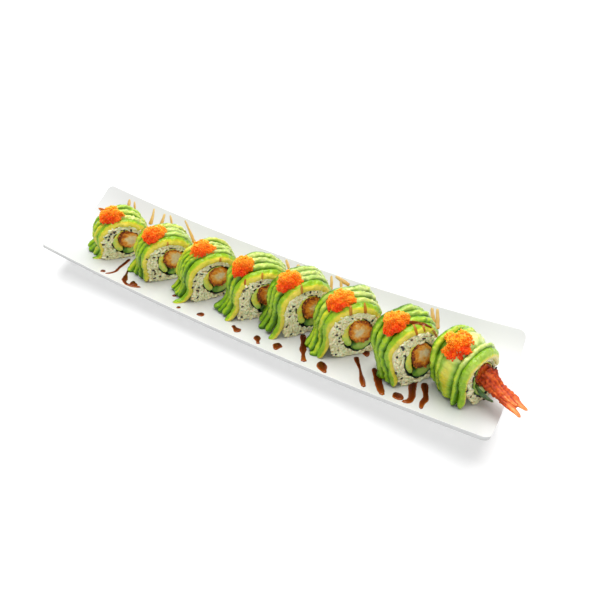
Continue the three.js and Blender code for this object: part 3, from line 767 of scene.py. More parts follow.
def sauce_run(bm, layer, points, surface_at, height, thin):
    """One domed run of sauce with round ends, through points of x, y and width.

    surface_at(x, y) gives a place and the direction out of it. thin gives the thinness at both ends.
    """
    steps, around = 26, 12
    path = rounded_path([Vector(point) for point in points], steps)
    travelled = [0.0]
    for a, b in zip(path, path[1:]):
        travelled.append(travelled[-1] + math.hypot(b.x - a.x, b.y - a.y))

    def point_at(k, j):
        here = path[j]
        before, after = path[max(j - 1, 0)], path[min(j + 1, steps - 1)]
        along = Vector((after.x - before.x, after.y - before.y, 0)).normalized()
        half = here.z * SAUCE_SPREAD / 2
        from_end = min(travelled[j], travelled[-1] - travelled[j])
        round_off = math.sqrt(1 - (1 - min(from_end / half, 1.0)) ** 2)
        width = half * round_off * (1 + 0.16 * noise.noise(Vector((here.x * 0.3, here.y * 0.3, 4.0))))
        angle = 2 * math.pi * k / around
        reach, rise = width * math.cos(angle), math.sin(angle)
        rise = rise * height * min(width / 1.6, 1.0) if rise > 0 else rise * 0.15 * round_off
        place, out = surface_at(here.x - along.y * reach, here.y + along.x * reach)
        thinness = between(thin, travelled[j] / travelled[-1])
        return place + out * (SAUCE_LIFT + rise), max(thinness, SAUCE_EDGE * abs(math.cos(angle)) ** 3)

    skin(bm, around, steps, point_at, layers=(layer,))


def sauce_material(colours):
    """Thick sauce that turns from nearly black to amber where the layer says it is thin."""
    found = bpy.data.materials.get("sauce")
    if found:
        return found
    stops = [(0.0, tuple(colours.sauce)), (0.35, (0.13, 0.016, 0.002)), (0.6, (0.40, 0.10, 0.007)),
             (0.8, (0.55, 0.29, 0.035)), (1.0, (0.72, 0.52, 0.20))]
    return new_finish(
        "sauce", stops, (0.16, 0.03, 0.004), scale=300.0, amount=0.15, fine=900.0, bump=0.05, layer="thin",
        Roughness=0.12, Coat_Weight=0.2, Coat_Roughness=0.03, Specular_IOR_Level=0.15,
    )


class PLATTER_OT_sauce(bpy.types.Operator):
    """Pours the thick sauce and the thin drizzle"""

    bl_idname = "platter.sauce"
    bl_label = "Pour sauce"

    def execute(self, context):
        bm = bmesh.new()
        layer = bm.verts.layers.float.new("thin")
        for run in NEAR_SAUCE:
            sauce_run(bm, layer, run, on_plate, 1.0, (-0.2, 0.5))
        for run in FAR_SAUCE:
            sauce_run(bm, layer, run, on_plate, 0.4, (1.0, 0.80))
        close(bm)
        finish(bm, "plate_sauce", sauce_material(context.scene.platter_colours))
        return {"FINISHED"}


# ---------------------------------------------------------------- rice, seeds and seaweed


def rice_material(name, rice):
    return new_finish(
        name, rice, tinted(rice, (0.74, 0.74, 0.58)), scale=170.0, amount=0.8, fine=1500.0, bump=0.15,
        distance=0.0003, Roughness=0.38, Subsurface_Weight=0.3, Subsurface_Scale=0.0015,
        Specular_IOR_Level=0.4,
    )


def within_rice(roll, s, h, margin):
    """Whether a place on the cut is inside the rice's outline by a margin."""
    high = h > roll.middle
    rise = roll.top - roll.middle - margin if high else roll.middle - RICE_FOOT
    exponent = ROUNDNESS if high else SQUARENESS
    v = abs(h - roll.middle) / rise
    if v >= 1:
        return False
    limit = (1 - v ** (2 / exponent)) ** (exponent / 2) * (roll.half_width - margin)
    return -limit - roll.piece["foot"] * roll.foot_share(h) ** FLARE < s < limit


def band_spots(roll, draw, count, margin, spacing, back):
    """Places on a cut between the seaweed and the avocado, no two closer than spacing."""
    across, up, wide, high = roll.seaweed
    found = []
    for _ in range(count * TRIES):
        if len(found) == count:
            break
        s = draw.uniform(-roll.half_width - 6, roll.half_width)
        h = draw.uniform(0.5, roll.top)
        if (
            math.hypot((s - across) / (wide + margin), (h - up) / (high + margin)) >= 1
            and within_rice(roll, s, h, margin)
            and roll.floor_under((s, h, roll.cut_at(h, 0.0, back))) >= margin * 0.8
            and all((s - a) ** 2 + (h - b) ** 2 >= spacing**2 for a, b in found)
        ):
            found.append((s, h))
    return found


# Sesame seeds that stand out on each front cut: across and up.
SEEDS = [
    [(-12.6, 30), (-7.9, 31.8), (-5.2, 32.6), (3.3, 32.3), (8.8, 30.3), (-16.9, 22.8), (-17.2, 8)],
    [(-16.5, 31.2), (-6.1, 34.2), (-2.7, 32.3), (-14.6, 17.5), (-15.8, 8.6), (4.5, 35.0)],
    [(-18.8, 21.9), (-12.9, 33.5), (-17.4, 9.1), (-0.6, 36.5), (-15.5, 27.5)],
    [(0.2, 38.3), (-13.6, 34.5), (-6.7, 36.6), (-17.3, 18.8), (-15.2, 27.0), (-11.0, 36.0)],
    [(-0.4, 41.9), (4.2, 41.2), (-10.3, 33.1), (-18.5, 16), (-14.8, 24.5)],
    [(-13.6, 27), (-12.2, 20), (-0.9, 38.9), (-11.0, 33.0), (-14.5, 12.0)],
    [(-14.8, 34.2), (-16.9, 20.3), (-13.2, 13.3), (-10.3, 40.8), (-3.0, 43.5), (11.5, 40.0)],
    [(0.3, 0.8), (-14.1, 21), (13.7, 26.7), (12.8, 20.8)],
]


class PLATTER_OT_rice(bpy.types.Operator):
    """Packs the coats of rice with their grains and sesame seeds"""

    bl_idname = "platter.rice"
    bl_label = "Pack rice"

    def execute(self, context):
        counts = context.scene.platter_counts
        length = context.scene.platter_sizes.grain_length / MM
        rice = tuple(context.scene.platter_colours.rice)
        loose = rice_material("rice", rice)
        # The coat has the rice's colour darkened: painted shade in the gaps between the loose grains.
        shaded_coat = rice_material("shaded_rice_coat", tinted(rice, (0.84, 0.83, 0.76)))
        grains, seeds = Scatter(8, 6), Scatter(8, 6)
        for roll in rolls():
            draw = random.Random(RICE_DRAWS + roll.index)
            self.coat(roll, shaded_coat)
            for back in (False, True):
                self.lay_grains(grains, roll, draw, counts.grains, length, back)
                self.lay_seeds(seeds, roll, draw, counts.seeds, back)
                pressed = random.Random(PRESSED_DRAWS + 2 * roll.index + back)
                self.lay_pressed(grains, roll, pressed, length, back)
            if "far_foot" in roll.piece:
                self.lay_side(grains, roll, draw, length)
        grains.finish("rice_grains", loose, "rice")
        stops = [(0.0, (0.012, 0.010, 0.008)), (0.75, (0.03, 0.022, 0.014)), (1.0, (0.16, 0.09, 0.03))]
        sesame = new_finish(
            "sesame", stops, (0.05, 0.035, 0.02), scale=900.0, amount=0.4, fine=3000.0, bump=0.15,
            layer="tone", Roughness=0.38, Specular_IOR_Level=0.5,
        )
        seeds.finish("sesame_seeds", sesame, "sesame", "tone")
        return {"FINISHED"}

    def coat(self, roll, material):
        """The sticky mass of rice round the seaweed, a closed ring along the roll."""
        bm = bmesh.new()
        around = 84
        outs = [0.0, 0.12, 0.35, 0.65, 0.88, 1.0]
        rings = [(0.0, out) for out in outs] + [(deep, 1.0) for deep in (0.08, 0.3, 0.5, 0.7, 0.92)]
        rings += [(1.0, out) for out in reversed(outs)] + [(deep, 0.0) for deep in (0.92, 0.5, 0.08)]
        roundings = {0.0: 0.6, 1.0: 1.0}

        def point_at(k, j):
            turn = 2 * math.pi * k / around
            deep, out = rings[j]
            s, h = (between(pair, out) for pair in zip(roll.tube(turn, -0.25), roll.rice_outline(turn)))
            front, back = roll.cut_at(h, 0.0), roll.cut_at(h, 0.0, True)
            on_cut = deep in (0.0, 1.0)
            rounding = roundings.get(out, 0.0) if on_cut else 0.0
            z = front - rounding + (back + rounding - front + rounding) * deep
            if on_cut:
                bump = noise.noise(Vector((s, h, z + 40 * roll.index)) * 0.42)
                z += (0.55 * bump - 0.25) * (1 if deep == 0.0 else -1)
            place = roll.world((s, h, z))
            place.z = max(place.z, plate_height(place.x, place.y) + 0.3)
            return (place,)

        skin(bm, around, len(rings), point_at, closed=True)
        finish_part(bm, roll, "rice_coat", material, "rice")

    def lay_grains(self, grains, roll, draw, count, length, back):
        """Grains over a cut, most of them along its outline."""
        for s, h in band_spots(roll, draw, count, GRAIN_MARGIN, GRAIN_SPACING, back):
            lean = math.atan2(h - roll.middle, s) + math.pi / 2 + draw.gauss(0, 0.9)
            z = roll.cut_at(h, draw.uniform(-0.5, 0.5), back)
            half = length / 2 * draw.uniform(0.75, 1.05)
            thick = draw.uniform(1.0, 1.3)
            turned = roll.turned((lean, "Z"), (draw.gauss(0, 0.22), "Y"))
            grains.add(roll.world((s, h, z)), (half, thick, thick * 0.9), turned)

    def lay_pressed(self, grains, roll, draw, length, back):
        """Grains pressed over the cut edge of the seaweed, so that it shows as a broken line."""
        count = 22
        for i in range(count):
            turn = 2 * math.pi * (i + draw.uniform(0.2, 0.8)) / count
            out = draw.uniform(-0.1, 0.8)
            lean, thick = draw.gauss(0, 0.5), draw.uniform(0.95, 1.2)
            if draw.random() > 0.5 or (roll.last and not back):
                continue
            s, h = roll.tube(turn, out)
            ahead_s, ahead_h = roll.tube(turn + 0.1, out)
            lean += math.atan2(ahead_h - h, ahead_s - s)
            place = roll.world((s, h, roll.cut_at(h, 0.35, back)))
            grains.add(place, (length * 0.45, thick, thick * 0.8), roll.turned((lean, "Z")))

    def lay_side(self, grains, roll, draw, length):
        """Grains on the far side of a piece, where its slices stop short of the plate."""
        rows, columns = 8, 9
        heights = (3.0, roll.piece["far_foot"] + 4.0)
        for row in range(rows):
            for column in range(columns):
                up = between(heights, (row + 0.5) / rows) + draw.uniform(-0.8, 0.8)
                drop = clamp((roll.middle - up) / (roll.middle - RICE_FOOT))
                s, h = roll.rice_outline(-math.asin(drop ** (1 / SQUARENESS)))
                z = -roll.depth * (column + draw.uniform(0.1, 0.9)) / columns
                place = roll.world((s - draw.uniform(0.3, 0.9), h, z))
                half = length / 2 * draw.uniform(0.75, 1.05)
                thick = draw.uniform(1.0, 1.3)
                turned = roll.turned((math.pi / 2 + draw.gauss(0, 0.2), "Z"), (draw.gauss(0, 0.9), "X"))
                grains.add(place, (half, thick, thick), turned)

    def lay_seeds(self, seeds, roll, draw, count, back):
        """Seeds strewn over a cut, and those that stand out on the front one."""
        places = band_spots(roll, draw, count, SEED_MARGIN, SEED_SPACING, back)
        if not back:
            places += SEEDS[roll.index]
        for s, h in places:
            z = roll.cut_at(h, draw.uniform(0.9, 1.25), back)
            turned = roll.turned((draw.uniform(0, math.pi), "Z"), (draw.gauss(0, 0.3), "Y"))
            seeds.add(roll.world((s, h, z)), SEED_SIZE, turned, draw.random())


class PLATTER_OT_seaweed(bpy.types.Operator):
    """Rolls the sheets of seaweed, each with its overlap"""

    bl_idname = "platter.seaweed"
    bl_label = "Roll seaweed"

    def execute(self, context):
        material = new_finish(
            "seaweed", (0.008, 0.013, 0.012), (0.04, 0.06, 0.045), scale=350.0, amount=0.7, fine=2200.0,
            bump=0.4, Roughness=0.5, Specular_IOR_Level=0.4,
        )
        for roll in rolls():
            self.sheet(roll, material)
        return {"FINISHED"}

    def sheet(self, roll, material):
        """A wavy sheet rolled a little more than once round the fillings."""
        bm = bmesh.new()
        start, overlap = math.radians(150 + 17 * roll.index % 60), 0.7
        along = 150
        half_thick = 0.17
        depths = [0.0, 0.03, 0.5, 0.97, 1.0]
        section = [(depth, half_thick) for depth in depths]
        section += [(depth, -half_thick) for depth in reversed(depths)]

        def point_at(k, j):
            deep, side = section[k]
            share = j / (along - 1)
            turn = start + (2 * math.pi + overlap) * share
            wave = ring_noise(turn, 6.0, 9.0 * roll.index + share)
            s, h = roll.tube(turn, 0.60 * share - 0.65 + 0.25 * wave + side)
            ragged = noise.noise(Vector((turn * 6, roll.index * 3.1, 7.0)))
            ragged += 0.5 * noise.noise(Vector((turn * 15, 1.0, 7.0)))
            shown = 0.15 - 0.5 * max(math.sin(turn + 0.5), 0.0)
            ends = roll.cut_at(h, shown + 0.75 * ragged), roll.cut_at(h, 0.4, True)
            return (roll.world((s, h, between(ends, deep))),)

        skin(bm, len(section), along, point_at)
        finish_part(bm, roll, "seaweed_sheet", material, "seaweed")


# ---------------------------------------------------------------- fillings

# The pale flesh in each prawn: across and up from its middle, and its share of the radius.
FLESH = [(1.0, -1.5, 0.52), (1.0, 0.5, 0.62), (-0.5, 0.5, 0.42), (1.5, 1.0, 0.34),
         (1.0, -1.0, 0.30), (-1.5, -0.5, 0.42), (0.8, 1.8, 0.40), (0.0, 0.0, 0.35)]


def prawn_outline(roll, turn, grow=0.0):
    """The uneven outline of the fried prawn, kept inside the seaweed."""
    across, up, wide, high = roll.prawn
    seed = 5.0 * roll.index
    share = 1 + 0.06 * ring_noise(turn, 2.3, seed) + 0.05 * ring_noise(turn, 7.0, seed)
    s = across + (wide + grow) * share * math.cos(turn)
    h = up + (high + grow) * share * math.sin(turn)
    across, up, wide, high = roll.seaweed
    over = math.hypot((s - across) / (wide - PRAWN_MARGIN + grow), (h - up) / (high - PRAWN_MARGIN + grow))
    if over > 1:
        s, h = across + (s - across) / over, up + (h - up) / over
    return s, h


class PLATTER_OT_prawns(bpy.types.Operator):
    """Fries the prawns, with their crumbs and tails"""

    bl_idname = "platter.prawns"
    bl_label = "Fry prawns"

    def execute(self, context):
        colours = context.scene.platter_colours
        material, tree, shader = principled(
            "fried_prawn", Roughness=0.45, Specular_IOR_Level=0.3, Subsurface_Weight=0.08,
            Subsurface_Scale=0.002,
        )
        crust = tuple(colours.crust)
        amount = attribute(tree, "crust")
        fried = ramp(tree, amount, [
            (0.0, tuple(colours.flesh)), (0.28, (0.96, 0.62, 0.20)), (0.48, crust),
            (0.76, (0.56, 0.13, 0.008)), (1.0, tinted(crust, (0.13, 0.07, 0.15))),
        ])
        shell = ramp(tree, amount, [
            (0.0, (0.88, 0.44, 0.14)), (0.30, (0.80, 0.15, 0.015)), (0.65, (0.56, 0.045, 0.005)),
            (1.0, (0.20, 0.012, 0.003)),
        ])
        colour = mix(tree, attribute(tree, "bare"), fried, shell)
        mottled(tree, shader, colour, (0.36, 0.08, 0.008), scale=420.0, amount=0.3, fine=1300.0, bump=0.5)
        crumbs = Scatter(6, 4)
        for roll in rolls():
            self.prawn(roll, material)
            self.scatter(crumbs, roll, random.Random(CRUMB_DRAWS + roll.index))
        crumbs.finish("fried_crumbs", material, "prawn", "crust")
        return {"FINISHED"}

    def prawn(self, roll, material):
        """The prawn in its crumb, from cut to cut, with its tail on the first and the last piece."""
        bm = bmesh.new()
        layers = [bm.verts.layers.float.new(name) for name in ("crust", "bare")]
        around = 60
        outs = [0.0, 0.18, 0.34, 0.48, 0.6, 0.7, 0.79, 0.87, 0.94, 1.0]
        rings = [(out, 0.0) for out in outs] + [(1.0, deep) for deep in (0.15, 0.4, 0.6, 0.85)]
        rings += [(out, 1.0) for out in reversed(outs)]
        flesh_s, flesh_h, flesh = FLESH[roll.index]
        across, up, wide, high = roll.prawn

        def point_at(k, j):
            out, deep = rings[j]
            rim_s, rim_h = prawn_outline(roll, 2 * math.pi * k / around)
            s = across + flesh_s * (1 - out) + (rim_s - across) * out
            h = up + flesh_h * (1 - out) + (rim_h - up) * out
            crag = noise.noise(Vector((s, h, 11.0 * roll.index)) * 0.8)
            lump = noise.noise(Vector((s, h, 11.0 * roll.index)) * 0.3)
            z = between((roll.cut_at(h, 0.8), roll.cut_at(h, 0.8, True)), deep)
            if deep in (0.0, 1.0):
                swell = 0.5 * crag * out + 0.35 * lump - (0.54 if out == 1.0 else 0.0)
                z += swell if deep == 0.0 else -swell
            far = math.hypot((s - across - flesh_s) / wide, (h - up - flesh_h) / high)
            far += 0.20 * lump + 0.12 * crag
            if far < flesh:
                value = 0.34 * (far / flesh) ** 3 + 0.08 * crag
            else:
                value = 0.36 + 0.66 * ((far - flesh) / (1 - flesh)) ** 1.8 + 0.22 * crag + 0.08 * lump
            bare = 1.0 if roll.last and deep < 0.5 else 0.0
            return roll.world((s, h, z)), clamp(value), bare

        skin(bm, around, len(rings), point_at, layers=layers)
        if roll.index == 0:
            self.back_tail(bm, layers, roll)
        if roll.last:
            self.front_tail(bm, layers, roll)
        finish_part(bm, roll, "fried_prawn", material, "prawn")

    def limb(self, bm, layers, roll, stations, crags, tones, steps=18, around=14):
        """A tapering limb through stations of across, up, forward, width, thickness and turn."""
        places, sizes = limb_paths(stations, steps)

        def point_at(k, j):
            angle = 2 * math.pi * k / around
            here, share = places[j], j / (steps - 1)
            wide, thick, turn = sizes[j]
            close_in = (0.0, 0.75, 1.0)[min(j, steps - 1 - j, 2)]
            a, b = wide * close_in * math.cos(angle), thick * close_in * math.sin(angle)
            spot = Vector((here.x + a, here.y + b, here.z))
            crag = 0.7 * noise.noise(spot * 0.42) + 0.35 * (0.3 + share) * noise.noise(spot * 1.3)
            rough = 1 + crags * (crag + 0.6 * ring_noise(angle, 2.2, here.z * 0.10))
            s = here.x + (a * math.cos(turn) - b * math.sin(turn)) * rough
            h = here.y + (a * math.sin(turn) + b * math.cos(turn)) * rough
            value = between(tones, share) + crags * noise.noise(Vector((s, h, here.z)) * 0.7)
            value += 0.5 * ring_noise(angle, 4.5, here.z * 0.07)
            value += 0.3 * ring_noise(angle, 11.0, here.z * 0.12)
            return roll.world((s, h, here.z)), clamp(value), 1.0

        skin(bm, around, steps, point_at, layers=layers)

    def front_tail(self, bm, layers, roll):
        """The battered end of the last prawn and the two fins of its tail."""
        stem = [(1.4, 18.3, 30, 3.4, 1.0, 0.1), (1.9, 18.0, 22, 4.9, 2.2, 0.1), (2.7, 18.4, 15, 5.4, 3.4, 0),
                (3, 19.6, 9, 5.9, 4.8, 0), (3, 21, 5.5, 6.6, 5.8, 0), (2.4, 22, 2, 5.6, 5.8, 0)]
        self.limb(bm, layers, roll, stem, 0.42, (0.38, 0.78), 60, 44)
        for side in (-1, 1):
            fin = [(-0.4 + side * 3.2, 19.2 + side * 0.6, 36, 1.0, 0.35, 0.3),
                   (0.1 + side * 2.7, 18.9 + side * 0.5, 32.5, 2.5, 0.6, 0.3),
                   (1 + side * 2.5, 18.5 + side * 0.4, 25, 2.9, 0.9, 0.3),
                   (2.2 + side * 2, 18.2, 16, 2.6, 1.3, 0.3)]
            self.limb(bm, layers, roll, fin, 0.14, (0.20, 0.50), 30, 16)

    def back_tail(self, bm, layers, roll):
        """The curled tail of the first prawn."""
        back = -roll.depth
        tail = [(4, 20, back + 4, 4.3, 4.3, 0), (-1, 24, back - 4, 3.4, 2.8, 0),
                (-7, 31, back - 7, 3.2, 1.3, 0.8), (-12, 36, back - 9, 1.2, 0.6, 0.8)]
        self.limb(bm, layers, roll, tail, 0.12, (0.30, 0.10))

    def scatter(self, crumbs, roll, draw):
        """Loose crumbs round the rim of both cuts."""
        for back in (False, True):
            for _ in range(CRUMBS_ON_A_CUT):
                turn = draw.uniform(0, 2 * math.pi)
                s, h = prawn_outline(roll, turn, draw.uniform(-1.1, 0.1))
                z = roll.cut_at(h, draw.uniform(0.1, 0.9), back)
                size = draw.uniform(0.35, 0.8)
                radii = (size, size * draw.uniform(0.6, 1.0), size * draw.uniform(0.6, 1.0))
                turned = random_turn(draw)
                crumbs.add(roll.world((s, h, z)), radii, turned, draw.uniform(0.45, 1.0))


def ray_to_tube(roll, turn):
    """How far the inside of the seaweed is from the prawn's middle in a direction."""
    across, up, wide, high = roll.seaweed
    wide, high = wide - FILLING_MARGIN, high - FILLING_MARGIN
    ox, oy = (roll.prawn[0] - across) / wide, (roll.prawn[1] - up) / high
    dx, dy = math.cos(turn) / wide, math.sin(turn) / high
    a, b, c = dx * dx + dy * dy, ox * dx + oy * dy, ox * ox + oy * oy - 1
    return (-b + math.sqrt(max(b * b - a * c, 0.0))) / a


def crescent(roll, name, solid, material, span, proud, seed, shade_at):
    """A filling through the roll, between the prawn and the seaweed, from one direction to another.

    shade_at(out, share, bump) gives how dark it is, from 0 to 1.
    """
    bm = bmesh.new()
    layer = bm.verts.layers.float.new("rim")
    across, up = roll.prawn[:2]
    along = 40
    outs = [0.0, 0.2, 0.4, 0.6, 0.8, 1.0]
    section = [(out, 0.0) for out in outs] + [(1.0, deep) for deep in (0.1, 0.5, 0.9)]
    section += [(out, 1.0) for out in reversed(outs)] + [(0.0, deep) for deep in (0.9, 0.5, 0.1)]

    def point_at(k, j):
        out, deep = section[k]
        share = j / (along - 1)
        turn = math.radians(between(span, share))
        edge_s, edge_h = prawn_outline(roll, turn, GAP)
        near = math.hypot(edge_s - across, edge_h - up)
        far = max(ray_to_tube(roll, turn) + roll.wobble(turn), near + 0.05)
        pinch = math.sin(math.pi * share) ** 0.25 if 0 < share < 1 else 0.0
        middle = (near + far) / 2
        reach = middle + (near + (far - near) * out - middle) * (0.15 + 0.85 * pinch)
        s, h = across + reach * math.cos(turn), up + reach * math.sin(turn)
        bump = noise.noise(Vector((s, h, seed + 7.0 * roll.index)) * 0.35)
        z = between((roll.cut_at(h, proud), roll.cut_at(h, proud, True)), deep)
        if deep in (0.0, 1.0):
            z += (0.5 * bump - 0.35 * abs(2 * out - 1) ** 4) * (1 if deep == 0.0 else -1)
        return roll.world((s, h, z)), clamp(shade_at(out, share, bump))

    skin(bm, len(section), along, point_at, layers=(layer,))
    finish_part(bm, roll, name, material, solid)


class PLATTER_OT_avocado_filling(bpy.types.Operator):
    """Lays the soft avocado beside each prawn"""

    bl_idname = "platter.avocado_filling"
    bl_label = "Lay avocado filling"

    def execute(self, context):
        stops = [(0.0, (0.95, 0.70, 0.05)), (0.35, (0.86, 0.78, 0.09)), (0.65, (0.56, 0.76, 0.13)),
                 (1.0, (0.26, 0.54, 0.05))]
        material = new_finish(
            "avocado_flesh", stops, (0.60, 0.64, 0.06), scale=300.0, amount=0.35, fine=1400.0, layer="rim",
            Roughness=0.36, Subsurface_Weight=0.2, Subsurface_Scale=0.002, Specular_IOR_Level=0.5,
        )
        for roll in rolls():
            span = (roll.split - 158, roll.split - 2)
            crescent(roll, "avocado_core", "avocado_filling", material, span,
                     proud=0.35, seed=3.0, shade_at=self.shade)
        return {"FINISHED"}

    def shade(self, out, share, bump):
        return 0.15 + 0.45 * share + 0.3 * (out - 0.5) + 0.5 * bump


class PLATTER_OT_cucumber(bpy.types.Operator):
    """Cuts the strips of cucumber with their dark skin"""

    bl_idname = "platter.cucumber"
    bl_label = "Cut cucumber"

    def execute(self, context):
        stops = [(0.0, (0.62, 0.74, 0.20)), (0.45, (0.40, 0.60, 0.08)), (0.68, (0.11, 0.30, 0.015)),
                 (1.0, (0.012, 0.050, 0.006))]
        material = new_finish(
            "cucumber", stops, (0.20, 0.42, 0.05), scale=350.0, amount=0.3, fine=1500.0, bump=0.15,
            layer="rim", Roughness=0.28, Subsurface_Weight=0.15, Subsurface_Scale=0.002,
            Specular_IOR_Level=0.5,
        )
        for roll in rolls():
            span = (roll.split + 2, roll.split + 128)
            crescent(roll, "cucumber_strip", "cucumber", material, span,
                     proud=0.15, seed=8.0, shade_at=self.shade)
        self.hanging_end(roll, material)
        return {"FINISHED"}

    def shade(self, out, share, bump):
        return 0.1 + 0.9 * max(out, 1 - 1.6 * share) ** 3 + 0.3 * bump

    def hanging_end(self, roll, material):
        """The end of the last strip, which hangs out of the front."""
        bm = bmesh.new()
        rim = bm.verts.layers.float.new("rim")
        steps, around = 18, 12
        places, sizes = limb_paths([
            (0.5, 5.5, 14, 0.7, 0.45, 1), (-5.5, 14.5, 9.5, 1.9, 0.8, 1), (-6.4, 18, 6, 1.7, 0.65, 1.3),
            (-5.6, 18, 3, 1.4, 0.5, 1.5), (-5.6, 18, -2, 1.1, 0.5, 1.5),
        ], steps)

        def point_at(k, j):
            angle = 2 * math.pi * k / around
            wide, thick, turn = sizes[j] * (0.0 if j in (0, steps - 1) else 1.0)
            a, b = wide * math.cos(angle), thick * math.sin(angle)
            s = places[j].x + a * math.cos(turn) - b * math.sin(turn)
            h = places[j].y + a * math.sin(turn) + b * math.cos(turn)
            return roll.world((s, h, places[j].z)), 0.85 + 0.15 * math.sin(angle)

        skin(bm, around, steps, point_at, layers=(rim,))
        finish_part(bm, roll, "cucumber_end", material)


# ---------------------------------------------------------------- avocado slices


def slice_path(roll, near, forward, centre, curl, sweep, steps):
    """The middle line of a slice from its near toe over the top to its far toe, in the plate's frame."""
    grow = GAP + SLICE_DEPTH / 2
    wide = roll.half_width + grow
    legs, arcs, toes = 16, 36, 6
    local = []
    for n in range(legs):
        up = ARCH_FOOT + (roll.middle - ARCH_FOOT) * n / legs
        share = roll.foot_share(up)
        local.append((-(wide + near * share**FLARE), up, centre + forward * share))
    for n in range(arcs + 1):
        turn = math.pi * (1 - n / arcs)
        up = roll.middle + (roll.top - roll.middle + grow) * max(math.sin(turn), 0.0) ** ROUNDNESS
        local.append((wide * power(math.cos(turn), ROUNDNESS), up, centre))
    foot = roll.piece.get("far_foot", ARCH_FOOT)
    for n in range(legs - 1, -1, -1):
        up = foot + (roll.middle - foot) * n / legs
        local.append((wide + FAR_TOE * near * roll.foot_share(up) ** FLARE, up, centre))
    clear = SLICE_DEPTH / 2 - 0.2
    points = [roll.world(p) for p in local]
    standing = [p for p in points if p.z - plate_height(p.x, p.y) > clear]
    outward = (roll.axes @ Vector((-1, 0, sweep))).normalized()
    toe = []
    for n in range(toes, 0, -1):
        place = standing[0] + outward * (curl * n / toes)
        place.z = plate_height(place.x, place.y) + clear * (1 - 0.35 * n / toes)
        toe.append(place)
    path = even_path(toe + standing, steps)
    for _ in range(3):
        inner = [(a + b * 2 + c) / 4 for a, b, c in zip(path, path[1:], path[2:])]
        path = [path[0], *inner, path[-1]]
    return path


